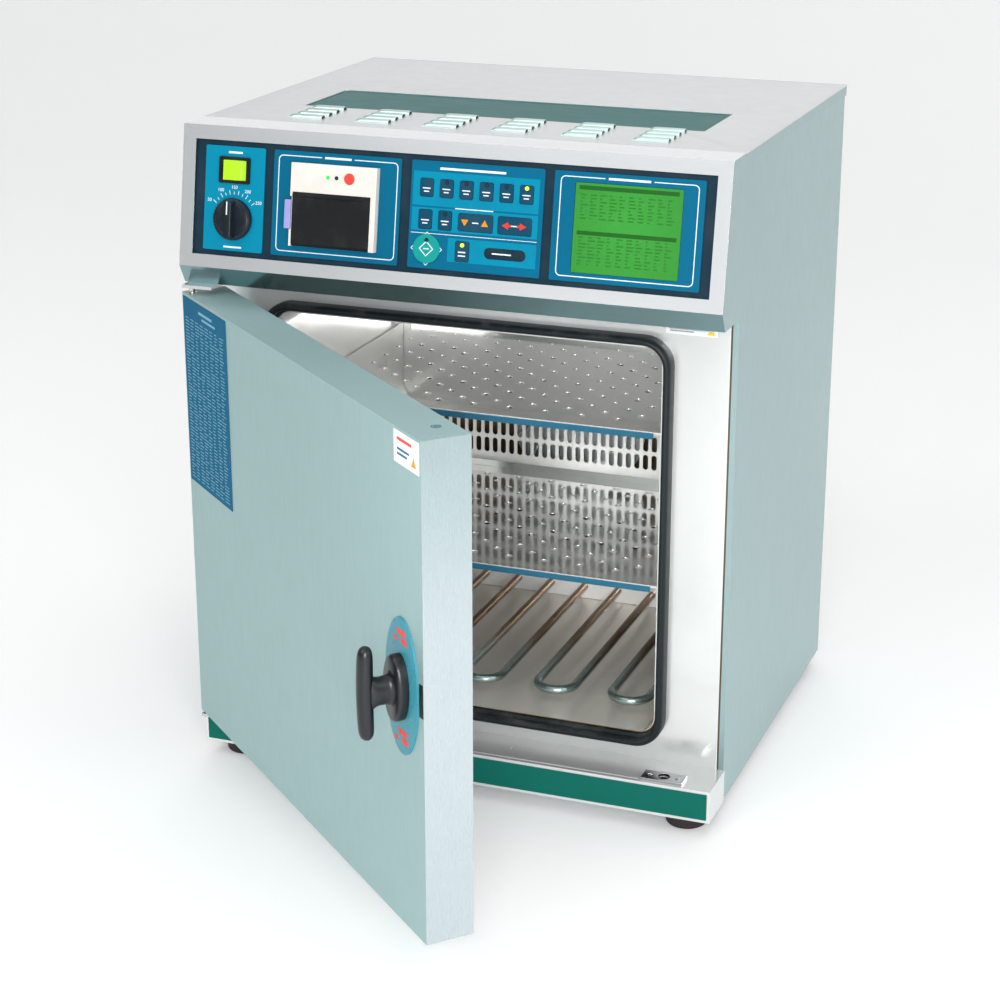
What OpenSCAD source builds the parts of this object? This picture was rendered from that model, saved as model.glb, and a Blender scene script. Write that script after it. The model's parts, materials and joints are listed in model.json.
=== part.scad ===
// Bench-top dry heat sterilizer: a stainless cabinet with a hinged door, a two-rod latch,
// a heated chamber with two perforated shelves, and a control fascia over the door.
// The origin is on the bench, in the middle of the four feet. The door faces -Y.
// Inside the body's own frame, y = 0 is the front of the cabinet and z = 0 its lower edge.

/* [Cabinet] */
// Width of the cabinet
body_w = 520; // [510:1:560]
// Depth of the cabinet behind its front frame
body_d = 390; // [385:1:430]
// Height of the cabinet above the feet
body_h = 616; // [612:1:660]
// Thickness of the outer sheets
sheet_t = 1.2; // [1:0.1:1.5]
// Depth of the top cover's lip over the side panels
cover_lip = 10; // [8:1:16]
// Width of the side panels' front returns
side_return = 5; // [4:0.5:7]
// Width of the side panels' rear returns
rear_return = 12; // [10:1:16]
// Gap between a side panel's front return and the front frame
frame_gap = 1.8; // [1:0.1:3]

/* [Top cover] */
// Length of the shallow recess in the top cover
recess_l = 396; // [300:1:420]
// Width of the recess from front to back
recess_w = 98; // [60:1:120]
// Distance from the cover's front edge to the recess
recess_y = 87; // [86:1:120]
// Groups of louvres across the cover
louvre_groups = 6; // [3:1:6]
// Louvres in a group
louvre_count = 4; // [2:1:4]
// Spacing of the groups
louvre_pitch_x = 66.8; // [50:0.2:75]
// Spacing of the louvres in a group
louvre_pitch_y = 16.5; // [13:0.5:17]
// Length of a louvre
louvre_l = 33; // [20:1:40]
// Width of a louvre
louvre_w = 10; // [8:0.5:12]
// Height of a louvre above the cover
louvre_h = 3.2; // [2:0.2:4]
// Distance from the cover's front edge to the first louvre's middle
louvre_y = 27; // [20:1:30]

/* [Plinth and feet] */
// Height of the plinth
plinth_h = 32; // [28:1:40]
// Depth of the plinth in front of the cabinet
plinth_d = 50; // [46:1:55]
// Border around the plinth's coloured plate
plinth_border = 3; // [2:0.5:6]
// Thickness of the plinth's coloured plate
plinth_plate_t = 0.8; // [0.5:0.1:1.5]
// Width of the groove along the top of the plinth
groove_w = 2; // [1:0.5:3]
// Diameter of a rubber foot
foot_d = 41; // [34:1:46]
// Height of a rubber foot
foot_h = 16; // [12:1:24]
// Distance from a foot's middle to the cabinet's side
foot_inset = 30; // [28:1:45]
// Distance from the front feet's middle to the plinth's front
foot_front = 29.5; // [26:0.5:36]

/* [Fascia] */
// Depth of the fascia at its top
fascia_top_d = 39; // [34:1:46]
// Depth of the fascia at the lower edge of its face
fascia_low_d = 61; // [56:1:63]
// Depth of the fascia's underside
fascia_under_d = 51; // [46:1:54]
// Height of the fascia's face
face_drop = 128; // [126:1:134]
// Height of the bevel under the face
bevel_drop = 18; // [14:1:22]
// Thickness of the fascia's sheet
fascia_t = 1.5; // [1:0.1:2]
// Width of the panel window
window_w = 494; // [490:1:498]
// Height of the panel window
window_h = 105; // [101:1:108]
// Distance from the face's upper edge to the window
window_top = 13; // [10:1:14]
// Depth from the face down to the section plates
plate_recess = 1.6; // [1:0.1:3]
// Thickness of a section plate
plate_t = 1.4; // [1.2:0.1:2]
// Thickness of the dark backing plate
backing_t = 1.5; // [1:0.1:2]

/* [Chamber] */
// Inner width of the chamber
chamber_w = 380; // [340:1:384]
// Room between the chamber's ceiling and the top of the cabinet
chamber_over = 180; // [176:1:206]
// Room between the chamber's back and the back of the cabinet
chamber_behind = 47; // [45:1:70]
// Height of the chamber floor above the cabinet's lower edge
chamber_z = 60; // [56:1:64]
// Corner radius of the chamber
chamber_r = 16; // [10:1:22]
// Thickness of the liner
liner_t = 1.2; // [0.8:0.1:1.5]
// How far the liner's front edge stands out of the front frame
liner_lip = 2; // [1:0.5:4]
// Distance from the air baffle's front to the liner's back
baffle_gap = 42; // [40:1:50]
// Distance from the chamber's ceiling down to the upper shelf's top
shelf_drop = 85; // [76:1:120]
// Height of the lower shelf's top above the chamber floor
shelf_low = 141; // [110:1:170]
// Gap from the front of the liner's lip to the shelves
shelf_front = 17; // [10:1:30]
// Height of a shelf's folded front lip
shelf_lip = 7; // [5:1:16]
// Thickness of a shelf
shelf_t = 1.2; // [0.8:0.1:2]
// Diameter of a shelf hole
shelf_hole_d = 8; // [5:0.5:10]
// Width of the rails that carry the shelves
rail_w = 12; // [8:1:16]
// Width of the door gasket
gasket_w = 9.5; // [8:0.5:12]
// Height of the door gasket off the front frame
gasket_h = 16; // [12:0.5:18]

/* [Heaters and fan] */
// Number of hairpin heaters
heater_count = 5; // [3:1:5]
// Spacing of the hairpins
heater_pitch = 76; // [66:1:78]
// Spacing of a hairpin's two legs
heater_leg = 38; // [30:1:44]
// Diameter of the heater tube
heater_d = 8.4; // [6:0.2:10]
// Height of the heaters' middle above the chamber floor
heater_z = 14; // [10:1:24]
// Distance from the front of the bends to the front frame
heater_front = 30; // [20:1:60]
// Diameter of the fan impeller
fan_d = 150; // [100:1:160]
// Number of impeller blades
fan_blades = 12; // [6:1:16]
// Diameter of the fan shaft
fan_shaft_d = 8; // [6:0.5:10]
// Diameter of the fan motor
motor_d = 84; // [70:1:95]
// Length of the fan motor
motor_l = 34; // [28:1:34]
// Outer diameter of the exhaust spigot
spigot_d = 32; // [24:1:40]
// How far the exhaust spigot stands out of the back
spigot_out = 25; // [15:1:40]
// Wall of the exhaust spigot
spigot_wall = 2; // [1.5:0.1:3]

/* [Door] */
// How far the door stands in from each side of the cabinet
door_side_gap = 2; // [1:0.5:5]
// Gap under the door
door_gap_low = 4; // [3.5:0.5:8]
// Gap over the door
door_gap_top = 8; // [6:1:12]
// Distance from the cabinet's front to the door's outer face
door_front = 64; // [60:1:70]
// Gap between the closed door and the gasket
seal_gap = 0.4; // [0.3:0.1:1]
// Height of the raised dish on the door's inner panel
dish_h = 5; // [3:0.5:8]
// How far the dish reaches past the gasket
dish_margin = 3; // [1:0.5:3]
// Angle at which the door stands open
door_open = 42; // [0:1:90]
// Distance from the hinge pin to the door's hinge edge
hinge_in = 8; // [7:0.5:12]
// Distance from the hinge pin to the door's outer face
hinge_back = 7; // [6.5:0.5:12]
// Radius of the hinge pins
hinge_pin_r = 3; // [2.5:0.1:3.2]
// Running clearance of pins and shafts, on the radius
run_gap = 0.05; // [0.03:0.01:0.08]
// Thickness of the hinge brackets
bracket_t = 3; // [2:0.5:3]
// Length of a hinge pin in its bush
pin_l = 16; // [10:1:24]

/* [Handle and latch] */
// Distance from the handle's spindle to the door's free edge
handle_in = 38; // [34:1:50]
// Height of the spindle above the door's lower edge
handle_z = 213; // [150:1:250]
// Length of the handle's bar
bar_l = 80; // [60:1:100]
// Thickness of the handle's bar
bar_d = 14; // [10:1:16]
// Distance from the door's face to the middle of the bar
bar_out = 33; // [28:1:40]
// Width of the handle's oval boss
boss_w = 32; // [28:1:42]
// Height of the handle's oval boss
boss_h = 57; // [44:1:64]
// Width of the escutcheon
escutcheon_w = 60; // [50:1:66]
// Height of the escutcheon
escutcheon_h = 117; // [90:1:130]
// Thickness of the escutcheon
escutcheon_t = 1.6; // [1:0.1:2]
// Radius of the spindle
spindle_r = 6; // [5:0.1:7]
// Radius from the spindle to the cam's pins
cam_r = 10; // [9:0.5:11]
// Radius of a latch rod
rod_r = 4.5; // [3.5:0.1:5]
// Travel of a latch rod
rod_travel = 14.14; // [13:0.01:15]

/* [Door plates] */
// Width of the instruction plate
notice_w = 109; // [80:1:120]
// Height of the instruction plate
notice_h = 180; // [120:1:200]
// Width of the small label plate
label_w = 44; // [30:1:55]
// Height of the small label plate
label_h = 26; // [16:1:34]
// Thickness of the plates on the door
door_plate_t = 0.6; // [0.4:0.1:1]

/* [Panel parts] */
// Width of the power switch's flange
switch_w = 31; // [28:1:34]
// Height of the power switch's flange
switch_h = 24; // [22:1:28]
// Diameter of the thermostat knob
knob_d = 38; // [30:1:42]
// Height of the thermostat knob
knob_h = 14; // [10:1:18]
// Width of the printer's front
printer_w = 84; // [80:1:90]
// Height of the printer's front
printer_h = 75; // [72:1:80]
// How far the printer stands out of its section plate
printer_out = 7; // [5:0.5:9]
// Width of the display's glass
lcd_w = 97; // [80:1:104]
// Height of the display's glass
lcd_h = 78; // [60:1:80]
// Width of an ordinary key
key_w = 12.6; // [10:0.2:13]
// Height of an ordinary key
key_h = 16; // [12:0.5:17]
// Travel of a key
key_travel = 0.4; // [0.2:0.1:0.5]
// Gap around a key
key_gap = 0.3; // [0.2:0.1:0.5]
// Diameter of an indicator lens
lens_d = 3.4; // [2.4:0.2:3.6]

/* [Hidden] */

$fn = 48;
// Overrun of a cut past the face that it opens
cut = 1;

// Cabinet planes
side_x = body_w/2 - sheet_t;
in_x = side_x - sheet_t;
frame_x = side_x - side_return - frame_gap;
z_face = body_h - face_drop;
z_under = z_face - bevel_drop;
cover_z = body_h - sheet_t;
rear_y = body_d - 2*sheet_t;
foot_front_y = foot_front - plinth_d;
foot_rear_y = body_d - foot_inset;
foot_x = body_w/2 - foot_inset;
base_y = -(foot_front_y + foot_rear_y)/2;
tray_front_y = sheet_t - plinth_d;
tray_flange = 20;
foot_seat = 4;

// Face of the fascia, measured from its upper edge and centre line
face_tilt = atan((fascia_low_d - fascia_top_d)/face_drop);
plate_z = -plate_recess;
backing_z = plate_z - plate_t;
panel_back_z = backing_z - backing_t;
backing_seat = fascia_t + 0.05;

// Section plates: left edge from the centre line, and width
plates = [[-237, 60], [-168, 125], [-33, 125], [101, 136]];
plates_top = 18;
plates_h = 95;
switch_x = -207;
switch_v = 39.5;
knob_v = 84;
printer_x = -105.5;
printer_v = 65.5;
lcd_x = 169;
lcd_v = 66;
cutout_side = 3;
knob_gap = 0.3;
backing_rim = 3;

// Rocker, and the printer's door, tab and button in the printer's own place
rocker_w = 22;
rocker_h = 18;
rocker_z = plate_z - 1;
rocker_tilt = 8;
pd_w = 76;
pd_h = 46;
pd_t = 3;
pd_x = -1.5;
pd_drop = printer_h/2 - 2.5;
pd_pin_r = 1.5;
pd_barrel_r = 2.4;
pd_z = printer_out - pd_t + 0.5;
tab_x0 = -printer_w/2 - 4.8;
tab_x1 = -printer_w/2 + 1.4;
tab_y = -22;
tab_h = 26;
tab_travel = 3;
button_x = 15.4;
button_y = 26.1;
button_r = 4.8;

// Keys: middle x and v, width, height
key_row = [for (i = [0:5]) [-17.8 + 18.8*i, 41.5, key_w, key_h]];
key_b = [for (i = [0:1]) [-17.8 + 18.8*i, 69.5, key_w, key_h + 1]];
key_pair_1 = [29.9, 69.6, 32.6, 15.4];
key_pair_2 = [66.7, 69.6, 31.4, 15.4];
key_enter_at = [18.7, 95.5, 13, 18];
key_start_at = [-15.4, 95.5];
key_start_r = 13;
key_t = 1.6;
key_proud = 0.7;
pair_tilt = 1.5;
key_r = 1.6;
// Indicator lenses in the keys and beside them: x and v
lens_up = 5.6;
lamp_at = [71, 95];
lenses = concat(
  [for (i = [1:5]) [key_row[i][0], key_row[i][1] - lens_up]],
  [[key_b[1][0], key_b[1][1] - lens_up], [key_start_at[0], key_start_at[1] - lens_up - 2],
   [key_enter_at[0], key_enter_at[1] - lens_up], lamp_at]);
printer_lenses = [[-111, 39.4], [-102.5, 39.4]];

// Chamber and opening
chamber_h = body_h - chamber_z - chamber_over;
chamber_d = body_d - chamber_behind;
shelf_high = chamber_h - shelf_drop;
slot_row_low = 120;
slot_row_top = 70;
slot_rows = 4;
liner_x = chamber_w/2 + liner_t;
opening_gap = 0.6;
opening_w = 2*(liner_x + opening_gap);
opening_h = chamber_h + 2*(liner_t + opening_gap);
opening_r = chamber_r + liner_t + opening_gap;
opening_z = chamber_z + chamber_h/2;
liner_back_y = chamber_d + liner_t;
baffle_y = chamber_d - baffle_gap;
baffle_t = 1.2;
baffle_side_gap = 0.5;
fan_z = opening_z;
heater_back = 8;
probe_x = 120;
probe_z = chamber_h - 46;
probe_r = 3;
spigot_x = -130;
spigot_in_r = spigot_d/2 - 0.5;
spigot_collar_t = 1.4;
spigot_z = chamber_z + chamber_h - 40;
motor_y = liner_back_y;
shelf_side_gap = 1.5;
rail_t = 1.2;
deck_drop = 1;
deck_gap = 0.3;
shelf_depth = baffle_y - shelf_front - 6;

// Door planes, with the door closed
door_x0 = -body_w/2 + door_side_gap;
door_x1 = -door_x0;
door_z0 = plinth_h + door_gap_low;
door_z1 = z_under - door_gap_top;
door_y0 = -door_front;
dish_y = -gasket_h - seal_gap;
rim_y = dish_y - dish_h;
dish_w = opening_w + 2*gasket_w + 2*dish_margin;
dish_tall = opening_h + 2*gasket_w + 2*dish_margin;
dish_r = opening_r + gasket_w + dish_margin;
hinge_x = door_x0 + hinge_in;
hinge_y = door_y0 + hinge_back;
bush_r = hinge_pin_r + 2;
bush_l = pin_l + 2;
insert_x0 = door_x1 - 7;
insert_x1 = door_x1 - sheet_t;
insert_d = 6;
insert_h = 28;
stem_w = 16;
stem_h = 24;
spindle_x = door_x1 - handle_in;
spindle_z = door_z0 + handle_z;
rod_dx = 0.85*cam_r;
rod_y = door_y0 + 27;
cam_y = rod_y - 8;
cam_t = 3;
cam_pin_r = 3;
yoke_t = 4;
yoke_y = cam_y + cam_t + 0.5;
yoke_slot_h = 2*cam_pin_r + 1;
yoke_w = 14;
yoke_h = 13;
rod_x_up = spindle_x + rod_dx;
rod_x_low = spindle_x - rod_dx;
keeper_r = rod_r + 1.5;
keeper_t = 2.4;
latch_channel = 34;

// Screws: M4 pan heads, with a clearance hole
screw_r = 2;
screw_hole_r = 2.2;
screw_head_r = 3.8;
screw_head_h = 2.2;
screw_l = 5;
rear_screw_low = 40;
rear_screw_top = 26;
rear_screw_rows = 4;
rear_screw_z = [for (i = [0:rear_screw_rows - 1])
  rear_screw_low + i*(body_h - rear_screw_low - rear_screw_top)/(rear_screw_rows - 1)];
rear_screw_x = in_x - 6;
keeper_screw_dx = 14;
bracket_screw_y = [-38, -16];
bracket_x = hinge_x + 16;

// Rear panel features
inlet_x = 150;
inlet_z = body_h - 70;
inlet_w = 48;
inlet_h = 27;
vent_count = 12;
vent_pitch = 14;

// Placing

module on_body() {
  translate([0, base_y, foot_h]) children();
}

module on_face() {
  on_body() translate([0, -fascia_top_d, body_h]) rotate([90 - face_tilt, 0, 0]) children();
}

// A place on the face: x from the centre line and v down from the upper edge
module at_face(x, v, z = 0) {
  on_face() translate([x, -v, z]) children();
}

module on_door() {
  on_body()
    translate([hinge_x, hinge_y, 0]) rotate([0, 0, -door_open]) translate([-hinge_x, -hinge_y, 0])
      children();
}

// Shapes

module block(x0, x1, y0, y1, z0, z1) {
  translate([x0, y0, z0]) cube([x1 - x0, y1 - y0, z1 - z0]);
}

module round_rect(w, h, r) {
  square([w - 2*r, h], center = true);
  square([w, h - 2*r], center = true);
  for (sx = [-1, 1], sy = [-1, 1])
    translate([sx*(w/2 - r), sy*(h/2 - r)]) circle(r);
}

// A rounded plate standing in the x-z plane, from y0 towards +y
module upright(w, h, r, y0, t) {
  translate([0, y0 + t, 0]) rotate([90, 0, 0]) linear_extrude(t) round_rect(w, h, r);
}

module ellipse(rx, ry, n = 72) {
  polygon([for (i = [0:n - 1]) [rx*cos(360*i/n), ry*sin(360*i/n)]]);
}

// A rod along x, y or z
module rod_x(l, r) { rotate([0, 90, 0]) cylinder(h = l, r = r); }
module rod_y(l, r) { rotate([-90, 0, 0]) cylinder(h = l, r = r); }

// An upright slot with round ends, cut through along y
module slot_y(w, h, l) {
  for (s = [-1, 1]) translate([0, 0, s*(h - w)/2]) rod_y(l, w/2);
  translate([-w/2, 0, -(h - w)/2]) cube([w, l, h - w]);
}

// A screw whose head sits on z = 0 and whose shank runs down
module screw() {
  rotate_extrude()
    polygon([[0, -screw_l], [screw_r, -screw_l], [screw_r, 0], [screw_head_r, 0],
             [screw_head_r, 0.4*screw_head_h], [0.6*screw_head_r, screw_head_h], [0, screw_head_h]]);
}

// Cabinet

module base_tray() {
  color("silver") on_body() {
    difference() {
      block(-in_x, in_x, tray_front_y, rear_y, 0, sheet_t);
      for (sx = [-1, 1], y = [foot_front_y, foot_rear_y])
        translate([sx*foot_x, y, -cut]) cylinder(h = sheet_t + 2*cut, r = screw_hole_r);
      for (sx = [-1, 1], i = [0:8])
        block(sx*120 - 30, sx*120 + 30, 60 + 30*i, 64 + 30*i, -cut, sheet_t + cut);
    }
    for (sx = [-1, 1])
      block(sx > 0 ? in_x - sheet_t : -in_x, sx > 0 ? in_x : sheet_t - in_x,
            sheet_t, rear_y, sheet_t, tray_flange);
    block(sheet_t - in_x, in_x - sheet_t, rear_y - sheet_t, rear_y, sheet_t, tray_flange);
  }
}

module plinth() {
  color("gainsboro") on_body() difference() {
    block(-body_w/2, body_w/2, -plinth_d, 0, 0, plinth_h);
    block(sheet_t - body_w/2, body_w/2 - sheet_t, sheet_t - plinth_d, cut, -cut, plinth_h - sheet_t);
    // Shadow groove behind the front lip
    block(-side_x + 4, rod_x_low - 22, 4 - plinth_d, 4 + groove_w - plinth_d,
          plinth_h - 0.6, plinth_h + cut);
    translate([rod_x_low, rod_y, 0]) cylinder(h = plinth_h + cut, r = keeper_r);
    for (s = [-1, 1]) translate([rod_x_low + s*keeper_screw_dx, rod_y, 0])
      cylinder(h = plinth_h + cut, r = screw_hole_r);
    for (y = bracket_screw_y) translate([bracket_x, y, 0])
      cylinder(h = plinth_h + cut, r = screw_hole_r);
  }
}

module plinth_plate() {
  color("teal") on_body()
    block(plinth_border - body_w/2, body_w/2 - plinth_border,
          -plinth_d - plinth_plate_t, -plinth_d, plinth_border, plinth_h - plinth_border);
}

module foot() {
  difference() {
    rotate_extrude() polygon([
      [0, 0], [foot_d/2 - 3, 0], [foot_d/2 - 1, 2], [foot_d/2, foot_h - 4],
      [foot_d/2, foot_h], [0, foot_h]]);
    translate([0, 0, -cut]) cylinder(h = foot_h - foot_seat + cut, r = screw_head_r + 2);
    cylinder(h = foot_h + cut, r = screw_hole_r);
  }
}

module feet() {
  color("#2c2624") on_body()
    for (sx = [-1, 1], y = [foot_front_y, foot_rear_y])
      translate([sx*foot_x, y, -foot_h]) foot();
}

module screws() {
  color("lightgray") on_body() {
    for (sx = [-1, 1], z = rear_screw_z)
      translate([sx*rear_screw_x, body_d, z]) rotate([-90, 0, 0]) screw();
    for (sx = [-1, 1], y = [foot_front_y, foot_rear_y])
      translate([sx*foot_x, y, -foot_seat]) rotate([180, 0, 0]) screw();
    for (s = [-1, 1]) {
      translate([rod_x_low + s*keeper_screw_dx, rod_y, plinth_h]) keeper_screw();
      translate([rod_x_up + s*keeper_screw_dx, rod_y, z_under]) rotate([180, 0, 0]) keeper_screw();
    }
    for (y = bracket_screw_y) {
      translate([bracket_x, y, plinth_h]) keeper_screw();
      translate([bracket_x, y, z_under]) rotate([180, 0, 0]) keeper_screw();
    }
  }
}

// A countersunk screw flush with the top of a keeper or a hinge bracket
module keeper_screw() {
  cylinder(h = keeper_t - 0.2, r = screw_hole_r - run_gap);
  translate([0, 0, -screw_l]) cylinder(h = screw_l, r = screw_r);
}

module side_panel() {
  block(side_x - sheet_t, side_x, 0, body_d, 0, cover_z);
  block(side_x - side_return, side_x - sheet_t, 0, sheet_t, sheet_t, cover_z);
  difference() {
    block(side_x - rear_return, side_x - sheet_t, body_d - sheet_t, body_d, 0, cover_z);
    for (z = rear_screw_z) translate([rear_screw_x, body_d - sheet_t - cut, z])
      rod_y(sheet_t + 2*cut, screw_hole_r);
  }
}

module side_panels() {
  color("lightsteelblue") on_body() {
    side_panel();
    mirror([1, 0, 0]) side_panel();
  }
}

module louvre() {
  arc_r = (louvre_w*louvre_w/4 + louvre_h*louvre_h)/(2*louvre_h);
  translate([-louvre_l/2, 0, 0]) intersection() {
    difference() {
      translate([0, 0, louvre_h - arc_r]) rod_x(louvre_l, arc_r);
      translate([sheet_t, 0, louvre_h - arc_r]) rod_x(louvre_l - 2*sheet_t, arc_r - 0.9);
      block(sheet_t, louvre_l - sheet_t, -louvre_w, -0.3*louvre_w, -cut, 0.6*louvre_h);
    }
    block(0, louvre_l, -louvre_w/2, louvre_w/2, 0, louvre_h);
  }
}

module louvre_places() {
  for (i = [0:louvre_groups - 1], j = [0:louvre_count - 1])
    translate([(i - (louvre_groups - 1)/2)*louvre_pitch_x, louvre_y + j*louvre_pitch_y, body_h])
      children();
}

module top_cover() {
  color("whitesmoke") on_body() {
    difference() {
      block(-body_w/2, body_w/2, 0, body_d + sheet_t, cover_z, body_h);
      block(-recess_l/2, recess_l/2, recess_y, recess_y + recess_w, cover_z - cut, body_h + cut);
      louvre_places() block(sheet_t - louvre_l/2, louvre_l/2 - sheet_t,
        -0.38*louvre_w, 0.3*louvre_w, -sheet_t - cut, cut);
    }
    louvre_places() louvre();
    for (sx = [-1, 1])
      block(sx > 0 ? side_x : -body_w/2, sx > 0 ? body_w/2 : -side_x, 0, body_d,
            cover_z - cover_lip, cover_z);
    block(-body_w/2, body_w/2, body_d, body_d + sheet_t, cover_z - cover_lip, cover_z);
  }
}

module top_recess_plate() {
  color("cadetblue") on_body()
    block(-recess_l/2 - 8, recess_l/2 + 8, recess_y - 1, recess_y + recess_w + 8,
          cover_z - 1.5, cover_z);
}

module rear_panel() {
  color("silver") on_body() difference() {
    block(-in_x, in_x, rear_y, body_d - sheet_t, 0, cover_z);
    translate([spigot_x, rear_y - cut, spigot_z]) rod_y(sheet_t + 2*cut, spigot_in_r + 0.3);
    block(inlet_x - inlet_w/2, inlet_x + inlet_w/2, rear_y - cut, body_d,
          inlet_z - inlet_h/2, inlet_z + inlet_h/2);
    for (sx = [-1, 1], z = rear_screw_z)
      translate([sx*rear_screw_x, rear_y - cut, z]) rod_y(sheet_t + 2*cut, screw_hole_r);
    for (i = [0:vent_count - 1]) translate([-180 + i*vent_pitch, rear_y - cut, inlet_z])
      slot_y(5, 50, sheet_t + 2*cut);
    for (i = [0:vent_count - 1]) translate([-77 + i*vent_pitch, rear_y - cut, fan_z])
      slot_y(5, 60, sheet_t + 2*cut);
  }
}

module front_frame() {
  color("white") on_body() difference() {
    block(-frame_x, frame_x, 0, fascia_t, sheet_t, z_under + 10);
    translate([0, 0, opening_z]) upright(opening_w, opening_h, opening_r, -cut, fascia_t + 2*cut);
  }
}

module shelf_rail(top) {
  block(chamber_w/2 - rail_w, chamber_w/2, shelf_front, shelf_front + shelf_depth,
        chamber_z + top - shelf_t - rail_t, chamber_z + top - shelf_t);
}

module chamber_liner() {
  color("gainsboro") on_body() {
    difference() {
      translate([0, 0, opening_z])
        upright(2*liner_x, chamber_h + 2*liner_t, chamber_r + liner_t, -liner_lip, liner_back_y + liner_lip);
      translate([0, 0, opening_z])
        upright(chamber_w, chamber_h, chamber_r, -liner_lip - cut, chamber_d + liner_lip + cut);
      translate([0, chamber_d - cut, fan_z]) rod_y(liner_t + 2*cut, fan_shaft_d/2 + 0.6);
      translate([spigot_x, chamber_d - cut, spigot_z]) rod_y(liner_t + 2*cut, spigot_d/2 - spigot_wall);
      translate([probe_x, chamber_d - cut, chamber_z + probe_z]) rod_y(liner_t + 2*cut, probe_r + 0.2);
      heater_leg_places(chamber_d - cut) rod_y(liner_t + 2*cut, heater_d/2 + 0.3);
    }
    for (top = [shelf_low, shelf_high]) {
      shelf_rail(top);
      mirror([1, 0, 0]) shelf_rail(top);
    }
  }
}

// The two legs of every hairpin, at depth y
module heater_leg_places(y) {
  for (i = [0:heater_count - 1], s = [-1, 1])
    translate([(i - (heater_count - 1)/2)*heater_pitch + s*heater_leg/2, y, chamber_z + heater_z])
      children();
}

module insulation() {
  gap = 0.5;
  color("khaki") on_body() difference() {
    block(-in_x + sheet_t + gap, in_x - sheet_t - gap, fascia_t, rear_y - screw_l,
          sheet_t, z_under - deck_drop);
    translate([0, 0, opening_z])
      upright(2*liner_x, chamber_h + 2*liner_t, chamber_r + liner_t, -cut, liner_back_y + cut);
    translate([0, liner_back_y - cut, fan_z]) rod_y(body_d, motor_d/2 + 6);
    translate([spigot_x, liner_back_y - cut, spigot_z]) rod_y(body_d, spigot_in_r + gap);
    translate([probe_x, liner_back_y - cut, chamber_z + probe_z]) rod_y(body_d, probe_r + 1);
    heater_leg_places(liner_back_y - cut) rod_y(heater_back + 4, heater_d/2 + 1);
  }
}

module door_gasket() {
  color("#23292b") on_body() translate([0, 0, opening_z]) difference() {
    union() {
      upright(opening_w + 2*gasket_w, opening_h + 2*gasket_w, opening_r + gasket_w,
        -0.7*gasket_h, 0.7*gasket_h);
      upright(opening_w + 2*gasket_w - 5, opening_h + 2*gasket_w - 5, opening_r + gasket_w - 2.5,
              -gasket_h, 0.35*gasket_h);
    }
    upright(opening_w + 0.4, opening_h + 0.4, opening_r + 0.2, -gasket_h - cut, gasket_h + 2*cut);
    upright(opening_w + 5, opening_h + 5, opening_r + 2.5, -gasket_h - cut, 0.3*gasket_h + cut);
  }
}

module air_baffle() {
  cols = 15;
  row_pitch = (chamber_h - slot_row_low - slot_row_top)/(slot_rows - 1);
  color("gainsboro") on_body() difference() {
    translate([0, 0, opening_z])
      upright(chamber_w - 2*baffle_side_gap, chamber_h - 2*baffle_side_gap, chamber_r - baffle_side_gap,
              baffle_y, baffle_t);
    for (i = [0:cols - 1], j = [0:slot_rows - 1])
      translate([(i - (cols - 1)/2)*22, baffle_y - cut, chamber_z + slot_row_low + j*row_pitch])
        slot_y(7, 26, baffle_t + 2*cut);
    heater_leg_places(baffle_y - cut) rod_y(baffle_t + 2*cut, heater_d/2 + 0.3);
    translate([probe_x, baffle_y - cut, chamber_z + probe_z]) rod_y(baffle_t + 2*cut, probe_r + 0.3);
  }
}

module shelf(top) {
  half = chamber_w/2 - shelf_side_gap;
  cols = 10;
  rows = 8;
  difference() {
    block(-half, half, shelf_front, shelf_front + shelf_depth,
          chamber_z + top - shelf_t, chamber_z + top);
    for (i = [0:cols - 1], j = [0:rows - 1])
      translate([(i - (cols - 1)/2)*36 + (j % 2)*12 - 6, shelf_front + 22 + j*32,
                 chamber_z + top - shelf_t - cut])
        cylinder(h = shelf_t + 2*cut, r = shelf_hole_d/2);
  }
  block(rail_w - half + 1, half - rail_w - 1, shelf_front, shelf_front + shelf_t,
        chamber_z + top - shelf_lip, chamber_z + top - shelf_t);
  block(rail_w - half + 1, half - rail_w - 1, shelf_front + shelf_depth - shelf_t, shelf_front + shelf_depth,
        chamber_z + top, chamber_z + top + shelf_lip);
}

module shelves() {
  color("lightgray") on_body() for (top = [shelf_low, shelf_high]) shelf(top);
}

module hairpin() {
  bend_y = heater_front + heater_leg/2;
  translate([0, bend_y, 0]) rotate([0, 0, 180])
    rotate_extrude(angle = 180) translate([heater_leg/2, 0]) circle(heater_d/2);
  for (s = [-1, 1]) translate([s*heater_leg/2, bend_y, 0])
    rod_y(liner_back_y + heater_back - bend_y, heater_d/2);
}

module heaters() {
  color("darkgray") on_body() for (i = [0:heater_count - 1])
    translate([(i - (heater_count - 1)/2)*heater_pitch, 0, chamber_z + heater_z]) hairpin();
}

module temperature_probe() {
  color("silver") on_body() translate([probe_x, 0, chamber_z + probe_z]) {
    translate([0, baffle_y - 50, 0]) rod_y(liner_back_y + 14 - baffle_y + 50, probe_r);
    translate([0, liner_back_y, 0]) rod_y(3, probe_r + 0.9);
  }
}

module fan_motor() {
  color("dimgray") on_body() translate([0, motor_y, fan_z]) difference() {
    union() {
      rod_y(motor_l, motor_d/2 - 4);
      rod_y(5, motor_d/2);
    }
    translate([0, -cut, 0]) rod_y(22 + cut, fan_shaft_d/2 + run_gap);
  }
}

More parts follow.
